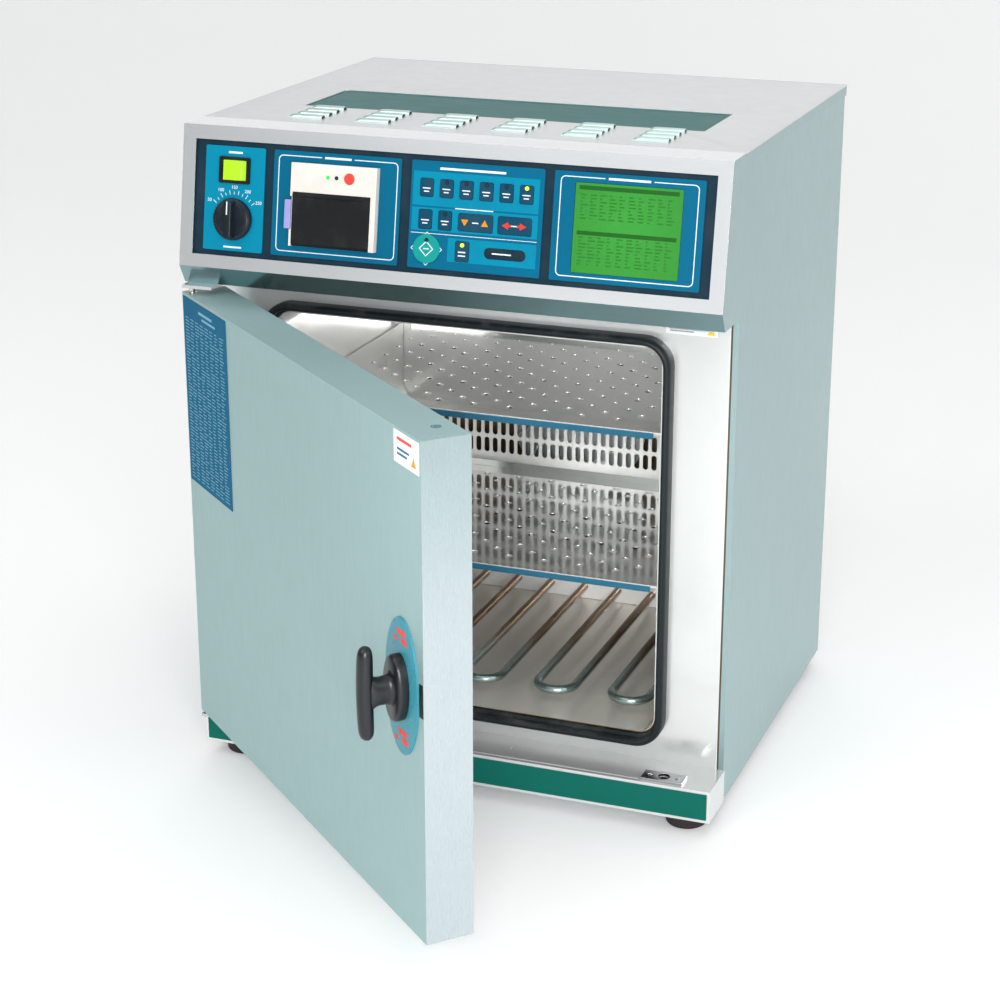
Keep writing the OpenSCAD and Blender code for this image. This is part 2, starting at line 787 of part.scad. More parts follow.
module fan_impeller() {
  hub_r = 16;
  disc_y = chamber_d - 12;
  blade_l = 24;
  color("silver") on_body() translate([0, 0, fan_z]) {
    translate([0, disc_y, 0]) rod_y(1.5, fan_d/2);
    translate([0, disc_y - 12, 0]) rod_y(12, hub_r);
    translate([0, disc_y + 1.5, 0]) rod_y(motor_y + 20 - disc_y - 1.5, fan_shaft_d/2);
    for (i = [0:fan_blades - 1]) rotate([0, 360*i/fan_blades, 0])
      translate([fan_d/2 - 32, 0, 0]) rotate([0, -35, 0])
        block(0, 26, disc_y - blade_l, disc_y + 0.5, -0.6, 0.6);
  }
}

module exhaust_spigot() {
  collar_y = body_d - sheet_t;
  color("silver") on_body() translate([spigot_x, 0, spigot_z]) difference() {
    union() {
      translate([0, liner_back_y, 0]) rod_y(collar_y - liner_back_y, spigot_in_r);
      translate([0, collar_y, 0]) rod_y(spigot_collar_t, spigot_d/2 + 4);
      translate([0, collar_y, 0]) rod_y(sheet_t + spigot_out, spigot_d/2);
    }
    translate([0, liner_back_y - cut, 0]) rod_y(body_d, spigot_d/2 - spigot_wall);
  }
}

module power_inlet() {
  flange = 5;
  pin_h = 8;
  color("#222222") on_body() translate([inlet_x, 0, inlet_z]) {
    difference() {
      union() {
        block(0.3 - inlet_w/2, inlet_w/2 - 0.3, rear_y - 26, body_d - sheet_t,
          0.3 - inlet_h/2, inlet_h/2 - 0.3);
        block(-inlet_w/2 - flange, inlet_w/2 + flange, body_d - sheet_t, body_d + 1.3,
              -inlet_h/2 - 1, inlet_h/2 + 1);
      }
      block(-12, 12, rear_y - 18, body_d + 2, -7.5, 7.5);
      for (s = [-1, 1]) translate([s*(inlet_w/2 - 5), body_d - 8, 0]) rod_y(12, 1.6);
    }
    for (s = [-1, 0, 1]) block(s*7 - 1, s*7 + 1, rear_y - 20, rear_y - 20 + pin_h + 4, -2.5, 2.5);
  }
}

// Control fascia

module fascia_profile(t = 0) {
  // The sheet is as thick as t, square to the tilted face
  back = t/cos(face_tilt);
  polygon([[-t, body_h - t], [back - fascia_top_d - t*tan(face_tilt), body_h - t],
           [back - fascia_low_d + 0.1*t*tan(face_tilt), z_face + 0.1*t],
           [t - fascia_under_d, z_under + t], [-t, z_under + t]]);
}

module fascia_housing() {
  color("silver") {
    difference() {
      on_body() difference() {
        rotate([90, 0, 90]) translate([0, 0, -body_w/2]) linear_extrude(body_w) fascia_profile();
        rotate([90, 0, 90]) translate([0, 0, fascia_t - body_w/2])
          linear_extrude(body_w - 2*fascia_t) fascia_profile(fascia_t);
        block(fascia_t - body_w/2, body_w/2 - fascia_t, -fascia_t - cut, cut,
          z_under + fascia_t, body_h - fascia_t);
        translate([rod_x_up, rod_y, z_under - cut]) cylinder(h = fascia_t + 2*cut, r = keeper_r);
        for (s = [-1, 1]) translate([rod_x_up + s*keeper_screw_dx, rod_y, z_under - cut])
          cylinder(h = 8, r = screw_hole_r);
        for (y = bracket_screw_y) translate([bracket_x, y, z_under - cut])
          cylinder(h = 8, r = screw_hole_r);
      }
      at_face(0, window_top + window_h/2) cube([window_w, window_h, 12], center = true);
    }
  }
}

module panel_backing() {
  mid_v = window_top + window_h/2;
  color("#263844") difference() {
    at_face(0, mid_v, (panel_back_z - backing_seat)/2)
      cube([window_w + 2*backing_rim, window_h + 2*backing_rim, -panel_back_z - backing_seat], center = true);
    at_face(0, mid_v, backing_z + 5) cube([window_w, window_h, 10], center = true);
    at_face(switch_x, switch_v) cube([switch_w - cutout_side, switch_h - cutout_side, 20], center = true);
    at_face(switch_x, knob_v, -20) cylinder(h = 30, r = 5);
    at_face(printer_x, printer_v) cube([printer_w - cutout_side, printer_h - cutout_side, 20], center = true);
    at_face(lcd_x, lcd_v) cube([lcd_w + 6, lcd_h + 6, 20], center = true);
  }
}

module rounded_cut(x, v, w, h, r) {
  at_face(x, v, -10) linear_extrude(20) round_rect(w, h, r);
}

// The place of a key, cut with its running gap
module key_hole(k) {
  rounded_cut(k[0], k[1], k[2] + 2*key_gap, k[3] + 2*key_gap, key_r + key_gap);
}

module section_plates() {
  color("#007fa8") difference() {
    for (p = plates) at_face(p[0] + p[1]/2, plates_top + plates_h/2, backing_z)
      linear_extrude(plate_t) round_rect(p[1], plates_h, 1.5);
    at_face(switch_x, switch_v) cube([switch_w - cutout_side, switch_h - cutout_side, 20], center = true);
    at_face(switch_x, knob_v, -10) cylinder(h = 20, r = 5);
    at_face(printer_x, printer_v) cube([printer_w - cutout_side, printer_h - cutout_side, 20], center = true);
    rounded_cut(lcd_x, lcd_v, lcd_w + 0.6, lcd_h + 0.6, 1.5);
    for (k = key_row) key_hole(k);
    for (k = key_b) key_hole(k);
    key_hole(key_pair_1);
    key_hole(key_pair_2);
    key_hole(key_enter_at);
    at_face(key_start_at[0], key_start_at[1], -10) cylinder(h = 20, r = key_start_r + key_gap);
    at_face(lamp_at[0], lamp_at[1], -10) cylinder(h = 20, r = lens_d/2 + 0.1);
  }
}

module lcd_module() {
  color("#46b43c") {
    at_face(lcd_x, lcd_v, backing_z - 0.2) linear_extrude(plate_t) round_rect(lcd_w, lcd_h, 1.2);
    at_face(lcd_x, lcd_v, panel_back_z - 8) translate([-lcd_w/2 - 2.7, -lcd_h/2 - 2.7, 0])
      cube([lcd_w + 5.4, lcd_h + 5.4, backing_z - panel_back_z + 8]);
  }
}

module indicator_lenses() {
  lens_h = plate_t + 0.9;
  color("gold") {
    for (p = lenses) at_face(p[0], p[1], backing_z) cylinder(h = lens_h, r = lens_d/2);
    for (p = printer_lenses) at_face(p[0], p[1], backing_z + plate_t + printer_out - 3)
      cylinder(h = 3.4, r = lens_d/2);
  }
}

module switch_body() {
  depth = 18;
  color("#1e2a2e") difference() {
    union() {
      at_face(switch_x, switch_v, plate_z) linear_extrude(2) round_rect(switch_w, switch_h, 1.5);
      at_face(switch_x, switch_v, plate_z - depth/2)
        cube([switch_w - 3.4, switch_h - 3.4, depth], center = true);
    }
    at_face(switch_x, switch_v, plate_z - 6)
      linear_extrude(10) square([rocker_w + 1.8, rocker_h + 0.6], center = true);
    at_face(switch_x, switch_v, rocker_z) rotate([90, 0, 0])
      cylinder(h = rocker_h + 2.4, r = 1.5 + run_gap, center = true);
  }
}

module power_rocker() {
  color("#9be000") at_face(switch_x, switch_v, rocker_z) {
    rotate([0, rocker_tilt, 0]) difference() {
      translate([-rocker_w/2, -rocker_h/2, -3]) cube([rocker_w, rocker_h, 6.4]);
      for (s = [-1, 1]) translate([s*rocker_w*0.42, 0, 15.6]) rotate([90, 0, 0])
        cylinder(h = rocker_h + 2, r = 12.8, center = true);
    }
    rotate([90, 0, 0]) cylinder(h = rocker_h + 2, r = 1.5, center = true);
  }
}

module safety_thermostat() {
  color("beige") at_face(switch_x, knob_v, panel_back_z - 26) difference() {
    union() {
      cylinder(h = 26, r = 14);
      translate([-20, -4, 24]) cube([40, 8, 2]);
    }
    translate([0, 0, 10]) cylinder(h = 20, r = 3 + run_gap);
  }
}

module thermostat_knob() {
  color("#14303a") at_face(switch_x, knob_v, plate_z + knob_gap) {
    difference() {
      cylinder(h = knob_h, r = knob_d/2);
      translate([0, 0, 4]) rotate_extrude() translate([knob_d/2 - 1, 0]) square([4, knob_h]);
      for (s = [-1, 1]) translate([s > 0 ? 3 : -knob_d, -knob_d, 5]) cube([knob_d - 3, 2*knob_d, knob_h]);
    }
    translate([-3, -knob_d/2 + 1.4, 4]) cube([6, knob_d - 2.8, knob_h - 4]);
    translate([0, 0, panel_back_z - 14 - plate_z - knob_gap])
      cylinder(h = 14 - panel_back_z + plate_z + 1, r = 3);
  }
}

// The printer, with its paper roll inside. Its own z = 0 is the face of its section plate.
module on_printer() {
  at_face(printer_x, printer_v, plate_z) children();
}

module printer_body() {
  depth = 46;
  wall = 2;
  color("#f4efe4") on_printer() {
    difference() {
      union() {
        translate([-printer_w/2, -printer_h/2, 0]) cube([printer_w, printer_h, printer_out]);
        translate([wall - printer_w/2, wall - printer_h/2, -depth])
          cube([printer_w - 2*wall, printer_h - 2*wall, depth]);
      }
      // Recess for the paper door
      translate([pd_x - pd_w/2 - 0.3, -pd_drop - pd_barrel_r - 0.4, pd_z - 2.6])
        cube([pd_w + 0.6, pd_h + pd_barrel_r + 0.8, 20]);
      // Paper compartment
      translate([-33, -pd_drop + 3, 4 - depth]) cube([66, 42, depth + 10]);
      translate([pd_x, -pd_drop, pd_z]) rotate([0, 90, 0])
        cylinder(h = pd_w + 3.4, r = pd_pin_r + run_gap, center = true);
      // Slot for the release tab
      translate([-printer_w/2 - cut, tab_y - key_gap, 1])
        cube([tab_x1 + key_gap + printer_w/2 + cut, tab_h + tab_travel + 2*key_gap, printer_out]);
      for (p = printer_lenses)
        translate([p[0] - printer_x, printer_v - p[1], printer_out - 3]) cylinder(h = 10, r = lens_d/2 + 0.1);
      translate([button_x, button_y, printer_out - 4]) cylinder(h = 10, r = button_r + key_gap);
    }
    // Paper roll on the compartment's floor
    translate([-29, -pd_drop + 3 + 18.2, -depth + 4 + 18.2]) rod_x(58, 18);
  }
}

module printer_door() {
  color("#151515") on_printer() translate([pd_x, -pd_drop, pd_z]) {
    difference() {
      translate([-pd_w/2, 0, 0]) cube([pd_w, pd_h, pd_t]);
      translate([-30, pd_h - 5, pd_t - 1]) cube([60, 1.4, 2]);
    }
    rotate([0, 90, 0]) cylinder(h = pd_w, r = pd_barrel_r, center = true);
    rotate([0, 90, 0]) cylinder(h = pd_w + 3, r = pd_pin_r, center = true);
  }
}

module feed_button() {
  color("crimson") on_printer() translate([button_x, button_y, printer_out - 2.8])
    cylinder(h = 3.8, r = button_r);
}

module release_tab() {
  color("#9d9dcf") on_printer() translate([tab_x0, tab_y, 1.3]) cube([tab_x1 - tab_x0, tab_h, printer_out]);
}

module control_deck() {
  color("silver") on_body()
    block(-in_x + deck_gap, in_x - deck_gap, fascia_t + deck_gap, rear_y - deck_gap,
          z_under - deck_drop, z_under - deck_drop + fascia_t);
}

module electronics() {
  deck = z_under - deck_drop + fascia_t;
  color("seagreen") on_body() {
    // Main board on its standoffs
    block(-60, 90, 120, 260, deck + 8, deck + 9.6);
    for (x = [-52, 82], y = [128, 252]) translate([x, y, deck]) cylinder(h = 8, r = 3);
    block(-30, 0, 150, 190, deck + 9.6, deck + 22);
    block(30, 70, 170, 230, deck + 9.6, deck + 26);
    // Mains transformer
    block(120, 190, 150, 210, deck, deck + 52);
    block(132, 178, 138, 222, deck + 10, deck + 42);
    // Heater relay on its heat sink
    block(-180, -110, 200, 280, deck, deck + 5);
    for (i = [0:7]) block(-180 + i*9.8, -178.6 + i*9.8, 200, 280, deck + 5, deck + 30);
    // Terminal strip beside the inlet
    block(60, 120, rear_y - 80, rear_y - 62, deck, deck + 22);
  }
}

module key_cap(k, lens = false) {
  difference() {
    at_face(k[0], k[1], plate_z + key_proud - key_t) linear_extrude(key_t) round_rect(k[2], k[3], key_r);
    if (lens) at_face(k[0], k[1] - lens_up, -10) cylinder(h = 20, r = lens_d/2 + key_gap);
  }
}

module step_key(i) { color("#0b6f8f") key_cap(key_row[i], i > 0); }
module mode_key(i) { color("#0b6f8f") key_cap(key_b[i], i > 0); }
module key_down_up() { color("#0b6f8f") key_cap(key_pair_1); }
module key_left_right() { color("#0b6f8f") key_cap(key_pair_2); }
module key_enter() { color("#0b6f8f") key_cap(key_enter_at, true); }

module key_start() {
  color("#00a3a0") difference() {
    at_face(key_start_at[0], key_start_at[1], plate_z + key_proud - key_t)
      cylinder(h = key_t, r = key_start_r);
    at_face(key_start_at[0], key_start_at[1] - lens_up - 2, -10) cylinder(h = 20, r = lens_d/2 + key_gap);
  }
}

// Hinges and keepers, fixed to the cabinet

module hinge_bracket() {
  reach = 7;
  difference() {
    block(hinge_x - reach, hinge_x + 24, hinge_y - reach, -4, 0, bracket_t);
    for (y = bracket_screw_y) translate([bracket_x, y, -cut])
      cylinder(h = bracket_t + 2*cut, r = screw_hole_r);
  }
}

module keeper(x) {
  translate([x, rod_y, 0]) difference() {
    translate([-keeper_screw_dx - 6, -9, 0]) cube([2*keeper_screw_dx + 12, 18, keeper_t]);
    translate([0, 0, -cut]) cylinder(h = keeper_t + 2*cut, r = keeper_r);
    for (s = [-1, 1]) translate([s*keeper_screw_dx, 0, -cut])
      cylinder(h = keeper_t + 2*cut, r = screw_hole_r);
  }
}

module hinge_brackets_keepers() {
  color("lightgray") on_body() {
    translate([0, 0, plinth_h]) {
      hinge_bracket();
      translate([hinge_x, hinge_y, 0]) cylinder(h = door_gap_low + pin_l, r = hinge_pin_r);
      keeper(rod_x_low);
    }
    translate([0, 0, z_under - bracket_t]) {
      hinge_bracket();
      translate([hinge_x, hinge_y, bracket_t - door_gap_top - pin_l])
        cylinder(h = door_gap_top + pin_l, r = hinge_pin_r);
    }
    translate([0, 0, z_under - keeper_t]) keeper(rod_x_up);
  }
}

// Door, drawn closed and turned open by on_door

module door_skin() {
  flange = 4;
  color("lightcyan") on_door() difference() {
    block(door_x0, door_x1, door_y0, rim_y, door_z0, door_z1);
    block(door_x0 + sheet_t, door_x1 - sheet_t, door_y0 + sheet_t, rim_y - sheet_t,
          door_z0 + sheet_t, door_z1 - sheet_t);
    block(door_x0 + flange, door_x1 - flange, rim_y - sheet_t - cut, rim_y + cut,
          door_z0 + flange, door_z1 - flange);
    translate([spindle_x, door_y0 - cut, spindle_z]) rod_y(sheet_t + 2*cut, spindle_r + 0.3);
    for (z = [door_z0 - cut, door_z1 - sheet_t - cut]) translate([hinge_x, hinge_y, z])
      cylinder(h = sheet_t + 2*cut, r = bush_r);
    translate([rod_x_up, rod_y, door_z1 - sheet_t - cut]) cylinder(h = sheet_t + 2*cut, r = rod_r + run_gap);
    translate([rod_x_low, rod_y, door_z0 - cut]) cylinder(h = sheet_t + 2*cut, r = rod_r + run_gap);
    block(insert_x0, insert_x1, door_y0 - cut, door_y0 + insert_d,
          spindle_z - insert_h/2, spindle_z + insert_h/2);
  }
}

module edge_insert() {
  color("#1a1d22") on_door()
    block(insert_x0, insert_x1, door_y0 - 0.6, door_y0 + insert_d,
          spindle_z - insert_h/2, spindle_z + insert_h/2);
}

module door_inner_panel() {
  color("gainsboro") on_door() difference() {
    union() {
      block(door_x0 + sheet_t, door_x1 - sheet_t, rim_y - 2*sheet_t, rim_y - sheet_t,
            door_z0 + sheet_t, door_z1 - sheet_t);
      translate([0, 0, opening_z])
        upright(dish_w, dish_tall, dish_r, rim_y - 1.5*sheet_t, dish_h + 1.5*sheet_t);
    }
    translate([0, 0, opening_z]) upright(dish_w - 2*sheet_t, dish_tall - 2*sheet_t, dish_r - sheet_t,
                                         rim_y - 2*sheet_t - cut, dish_h + sheet_t + cut);
  }
}

module door_insulation() {
  color("khaki") on_door()
    block(door_x0 + 18, spindle_x - latch_channel/2 - 6, door_y0 + sheet_t, rim_y - 2*sheet_t,
          door_z0 + sheet_t, door_z1 - sheet_t);
}

module hinge_bush(z) {
  translate([hinge_x, hinge_y, z]) difference() {
    cylinder(h = bush_l, r = bush_r);
    translate([0, 0, -cut]) cylinder(h = bush_l + 2*cut, r = hinge_pin_r + run_gap);
  }
}

module hinge_bushes() {
  color("goldenrod") on_door() {
    hinge_bush(door_z0);
    hinge_bush(door_z1 - bush_l);
  }
}

module escutcheon() {
  color("#4ea0b8") on_door() translate([spindle_x, door_y0, spindle_z]) rotate([90, 0, 0]) difference() {
    linear_extrude(escutcheon_t) ellipse(escutcheon_w/2, escutcheon_h/2);
    translate([0, 0, -cut]) cylinder(h = escutcheon_t + 2*cut, r = spindle_r + run_gap);
  }
}

module door_plates() {
  edge = 3;
  color("#00698c") on_door() {
    block(door_x0 + edge, door_x0 + edge + notice_w, door_y0 - door_plate_t, door_y0,
          door_z1 - edge - notice_h, door_z1 - edge);
    block(door_x1 - edge - label_w, door_x1 - edge, door_y0 - door_plate_t, door_y0,
          door_z1 - 2 - label_h, door_z1 - 2);
  }
}

module on_spindle() {
  on_door() translate([spindle_x, door_y0, spindle_z]) children();
}

module door_handle() {
  boss_t = 9;
  color("#22272e") on_spindle() {
    translate([0, -escutcheon_t - 0.3, 0]) rotate([90, 0, 0])
      linear_extrude(boss_t) ellipse(boss_w/2, boss_h/2);
    translate([0, -escutcheon_t - 2, 0]) rotate([90, 0, 0])
      linear_extrude(bar_out - escutcheon_t - 2) ellipse(stem_w/2, stem_h/2);
    translate([0, -bar_out, bar_d/2 - bar_l/2]) cylinder(h = bar_l - bar_d, r = bar_d/2);
    for (s = [-1, 1]) translate([0, -bar_out, s*(bar_l - bar_d)/2]) sphere(bar_d/2);
  }
}

module latch_cam() {
  start = 45;
  color("darkgray") on_spindle() {
    translate([0, -escutcheon_t - 0.3, 0]) rod_y(cam_y - door_y0 + escutcheon_t + 0.3, spindle_r);
    translate([0, cam_y - door_y0, 0]) rod_y(cam_t, cam_r + cam_pin_r + 1);
    for (s = [-1, 1]) translate([s*cam_r*cos(start), cam_y - door_y0 + cam_t, -s*cam_r*sin(start)])
      rod_y(yoke_t + 0.6, cam_pin_r);
  }
}

// One latch rod: up is 1 for the upper rod and -1 for the lower one
module latch_rod(up) {
  x = spindle_x + up*rod_dx;
  pin_z = spindle_z - up*cam_r*sin(45);
  z_end = up > 0 ? door_z1 : door_z0;
  on_door() {
    difference() {
      union() {
        translate([x - yoke_w/2, yoke_y, pin_z - yoke_h/2]) cube([yoke_w, yoke_t, yoke_h]);
        translate([x, rod_y, min(pin_z + up*yoke_h/2, z_end)])
          cylinder(h = abs(z_end - pin_z) - yoke_h/2, r = rod_r);
        block(x - 3, x + 3, yoke_y, rod_y + rod_r - 1,
              up > 0 ? pin_z + yoke_h/2 : pin_z - yoke_h/2 - 10,
                up > 0 ? pin_z + yoke_h/2 + 10 : pin_z - yoke_h/2);
      }
      translate([x - (cam_r - rod_dx) - cam_pin_r - 0.6, yoke_y - cut, pin_z - yoke_slot_h/2])
        cube([2*(cam_r - rod_dx) + 2*cam_pin_r + 1.2, yoke_t + 2*cut, yoke_slot_h]);
    }
  }
}

module latch_rod_upper() { color("lightgray") latch_rod(1); }
module latch_rod_lower() { color("lightgray") latch_rod(-1); }

base_tray();
plinth();
plinth_plate();
feet();
screws();
side_panels();
top_cover();
top_recess_plate();
rear_panel();
front_frame();
chamber_liner();
insulation();
door_gasket();
fascia_housing();
control_deck();
panel_backing();
section_plates();
lcd_module();
indicator_lenses();
electronics();
switch_body();
printer_body();
safety_thermostat();
heaters();
air_baffle();
shelves();
temperature_probe();
fan_motor();
exhaust_spigot();
power_inlet();
hinge_brackets_keepers();
door_skin();
door_inner_panel();
door_insulation();
hinge_bushes();
escutcheon();
door_plates();
edge_insert();
door_handle();
latch_cam();
latch_rod_upper();
latch_rod_lower();
power_rocker();
thermostat_knob();
printer_door();
feed_button();
release_tab();
fan_impeller();
step_key(0);  // key_a1
step_key(1);  // key_a2
step_key(2);  // key_a3
step_key(3);  // key_a4
step_key(4);  // key_a5
step_key(5);  // key_a6
mode_key(0);  // key_b1
mode_key(1);  // key_b2
key_down_up();
key_left_right();
key_start();
key_enter();
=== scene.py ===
"""Bench-top dry heat sterilizer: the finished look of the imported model.

Shapes are drawn in millimetres in the place of the part that they belong to: BODY for the
cabinet, FACE for the sloped panel and DOOR for the open door.
"""

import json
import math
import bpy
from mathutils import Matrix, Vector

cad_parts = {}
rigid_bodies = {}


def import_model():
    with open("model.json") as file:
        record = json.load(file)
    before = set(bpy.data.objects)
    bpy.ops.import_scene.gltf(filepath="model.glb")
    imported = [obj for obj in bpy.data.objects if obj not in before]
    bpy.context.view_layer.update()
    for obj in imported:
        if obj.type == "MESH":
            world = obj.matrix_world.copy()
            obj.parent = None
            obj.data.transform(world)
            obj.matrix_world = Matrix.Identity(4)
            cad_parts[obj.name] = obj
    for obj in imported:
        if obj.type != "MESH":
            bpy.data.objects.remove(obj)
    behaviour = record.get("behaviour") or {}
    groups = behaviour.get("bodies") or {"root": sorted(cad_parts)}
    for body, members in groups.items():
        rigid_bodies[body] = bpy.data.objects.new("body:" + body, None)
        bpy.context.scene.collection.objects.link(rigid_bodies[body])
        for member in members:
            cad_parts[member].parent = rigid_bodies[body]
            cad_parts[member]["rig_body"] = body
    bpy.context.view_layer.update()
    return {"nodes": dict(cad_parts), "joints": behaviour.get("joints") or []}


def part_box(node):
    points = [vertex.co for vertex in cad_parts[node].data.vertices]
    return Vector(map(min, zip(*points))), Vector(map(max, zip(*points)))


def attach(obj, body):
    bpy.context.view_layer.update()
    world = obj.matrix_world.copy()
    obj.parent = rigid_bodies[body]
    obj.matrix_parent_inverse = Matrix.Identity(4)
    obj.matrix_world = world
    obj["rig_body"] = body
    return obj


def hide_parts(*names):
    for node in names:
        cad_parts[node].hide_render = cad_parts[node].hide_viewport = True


bl_info = {
    "name": "Dry heat sterilizer",
    "version": (1, 0, 0),
    "blender": (4, 5, 0),
    "location": "View3D > Sidebar > Sterilizer",
    "description": "Builds the pieces, finishes and studio of a bench-top dry heat sterilizer",
    "category": "Object",
}

import bmesh
import bpy
from bpy.props import FloatProperty, FloatVectorProperty, IntProperty, PointerProperty
from mathutils import Matrix, Vector

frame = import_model()
NODES = frame["nodes"]
JOINTS = {j["name"]: j for j in frame["joints"]}

# Places

MM = 0.001
BASE_Y, FOOT_H = -169.75, 16.0
FACE_TOP = Vector((0.0, -39.0, 616.0))
HINGE = Vector((-250.0, -57.0, 0.0))
TILT = math.asin(JOINTS["knob_turn"]["axis"][2])
DOOR_ANGLE = math.radians(JOINTS["door_hinge"]["range_deg"][0])


def turn(degrees, axis):
    return Matrix.Rotation(math.radians(degrees), 4, axis)


def shift(x, y, z=0.0):
    return Matrix.Translation((x, y, z))


BODY = Matrix.Scale(MM, 4) @ shift(0, BASE_Y, FOOT_H)
FACE = BODY @ Matrix.Translation(FACE_TOP) @ Matrix.Rotation(math.pi / 2 - TILT, 4, "X")
DOOR = (BODY @ Matrix.Translation(HINGE) @ Matrix.Rotation(DOOR_ANGLE, 4, "Z")
        @ Matrix.Translation(-HINGE))
UPRIGHT = turn(90, "X")
SHEET = 1.2
COVER_DEPTH = 390.0
PANEL_Z, GLASS_Z = -1.6, -1.8
DOOR_FRONT, PLATE_FRONT = -64.0, -64.6
KNOB_X, KNOB_V = -207.0, 84.0
KEY_X, KEY_PITCH, KEY_ROWS = -17.8, 18.8, (41.5, 69.5)
DISPLAY_X, DISPLAY_V = 169.0, 66.0
BADGE_X, BADGE_Z = 220.0, 249.0
NOTICE_X, NOTICE_Z = -200.5, 369.0
CHAMBER_Z = 248.0
RECESS = (-198, 198, 87, 185)
SHELF_TOPS = (201.0, 351.0)
BAFFLE_ROWS = ((273, 6), (140, 2))
GASKET_W, GASKET_H, GASKET_R = 383.6, 379.6, 17.8
PRINT = (-0.02, 0.06)


def on_door(x, y, z):
    """A pattern's place upright on the door."""
    return DOOR @ shift(x, y, z) @ UPRIGHT


def on_face(point):
    """A point of the row's frame in millimetres on the sloped panel."""
    return FACE.inverted() @ point


def extent(node):
    """Corners of a node in the cabinet's millimetres."""
    inverse = BODY.inverted()
    return [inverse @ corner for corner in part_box(node)]


def srgb(*c):
    return tuple(round((x / 255 / 12.92) if x / 255 <= 0.04045 else ((x / 255 + 0.055) / 1.055) ** 2.4, 4)
                 for x in c)


# Settings

def length(name, about, default):
    return FloatProperty(name=name, description=about, default=default, min=0, max=1, unit="LENGTH",
                         precision=4)


def power(name, about, watts):
    return FloatProperty(name=name, description=about, default=watts, unit="POWER")


def colour(name, about, *rgb):
    return FloatVectorProperty(name=name, description=about, default=srgb(*rgb), min=0, max=1,
                               size=3, subtype="COLOR")


class SterilizerSizes(bpy.types.PropertyGroup):
    """Sizes of the details"""
    sheet_round: length("Sheet edge", "Rounding of the folded sheet edges", 0.0005)
    plate_round: length("Plate edge", "Rounding of thin plates and films", 0.0002)
    knob_round: length("Knob edge", "Rounding of moulded plastic edges", 0.0009)
    louvre_l: length("Louvre length", "Length of a louvre on the top cover", 0.033)
    louvre_w: length("Louvre width", "Width of a louvre on the top cover", 0.0085)
    louvre_h: length("Louvre height", "Height of a louvre on the top cover", 0.0032)
    louvre_groups: IntProperty(name="Louvre groups", description="Groups of louvres", default=6, min=1)
    louvre_count: IntProperty(name="Louvres", description="Louvres in a group", default=4, min=1)
    louvre_x: length("Group spacing", "Spacing of the louvre groups", 0.0668)
    louvre_y: length("Louvre spacing", "Spacing of the louvres in a group", 0.0165)
    shelf_hole: length("Shelf hole", "Diameter of a hole in a shelf", 0.008)
    shelf_x: length("Hole spacing across", "Spacing of the shelf holes across", 0.036)
    shelf_y: length("Hole spacing back", "Spacing of the shelf holes from front to back", 0.016)
    slot_w: length("Slot width", "Width of a slot in the air baffle", 0.0058)
    slot_h: length("Slot height", "Height of a slot in the air baffle", 0.0165)
    slot_x: length("Slot spacing", "Spacing of the slots in a row", 0.0094)
    slot_z: length("Row spacing", "Spacing of the rows of slots", 0.020)
    line_w: length("Line width", "Width of a printed line", 0.0008)
    seed: IntProperty(name="Seed", description="Seed of the printed lines and the dust", default=7)


class SterilizerColours(bpy.types.PropertyGroup):
    """Colours of the finishes"""
    steel: colour("Side panels", "Brushed steel of the side panels", 166, 190, 191)
    top: colour("Top cover", "Satin top cover", 230, 232, 232)
    louvre: colour("Louvres", "Pale louvres of the top cover", 216, 238, 232)
    recess: colour("Recess", "Brushed plate in the top recess", 20, 112, 110)
    fascia: colour("Fascia", "Polished fascia frame", 242, 245, 246)
    # Painted shade: the downward-facing strip under the fascia is painted darker teal than the fascia's steel
    bevel: colour("Bevel", "Sloping strip under the fascia", 132, 160, 163)
    door: colour("Door", "Brushed door skin", 162, 190, 190)
    # Painted highlight: the door's free edge is painted paler than the door skin; towards its top the door
    # colour is blended back in as a painted reflection
    door_edge: colour("Door edge", "Bright free edge of the door", 192, 203, 207)
    frame_steel: colour("Front frame", "Polished front frame", 228, 230, 229)
    chamber: colour("Chamber", "Polished chamber steel", 246, 246, 244)
    chamber_floor: colour("Chamber floor", "Satin floor of the chamber", 232, 228, 220)
    # Painted reflection: the shelves' front lips are plain steel, and their blue is a reflection painted into
    # the colour
    lip: colour("Shelf lip", "Blue glint along the shelves' front lips", 70, 140, 172)
    warm: colour("Heat tint", "Heat tint low in the chamber", 186, 156, 112)
    plinth: colour("Plinth plate", "Coloured plate of the plinth", 0, 102, 90)
    gasket: colour("Gasket", "Door gasket", 22, 30, 33)
    bright_blue: colour("Bright blue", "Bright film of the panel", 0, 134, 166)
    dark_blue: colour("Dark blue", "Dark film of the panel", 0, 100, 134)
    divider: colour("Backing", "Dark backing of the panel", 8, 42, 58)
    key: colour("Keys", "Keys of the panel", 0, 66, 92)
    start: colour("Start key", "Round start key", 0, 150, 145)
    lcd: colour("Display", "Lit display", 56, 144, 54)
    lamp: colour("Lit rocker", "Lit rocker switch", 150, 204, 16)
    knob: colour("Knob", "Black plastic of the knob", 12, 24, 34)
    handle: colour("Handle", "Black plastic of the handle", 15, 18, 24)
    cream: colour("Printer", "Cream plastic of the printer", 224, 218, 210)
    notice: colour("Notice", "Film of the instruction plate", 0, 98, 134)
    badge: colour("Escutcheon", "Blue of the escutcheon", 62, 142, 158)
    red: colour("Red marks", "Red marks and button", 230, 66, 54)
    orange: colour("Orange marks", "Orange marks", 250, 150, 20)
    white: colour("White marks", "White marks", 236, 242, 244)
    foot: colour("Feet", "Rubber of the feet", 38, 30, 30)


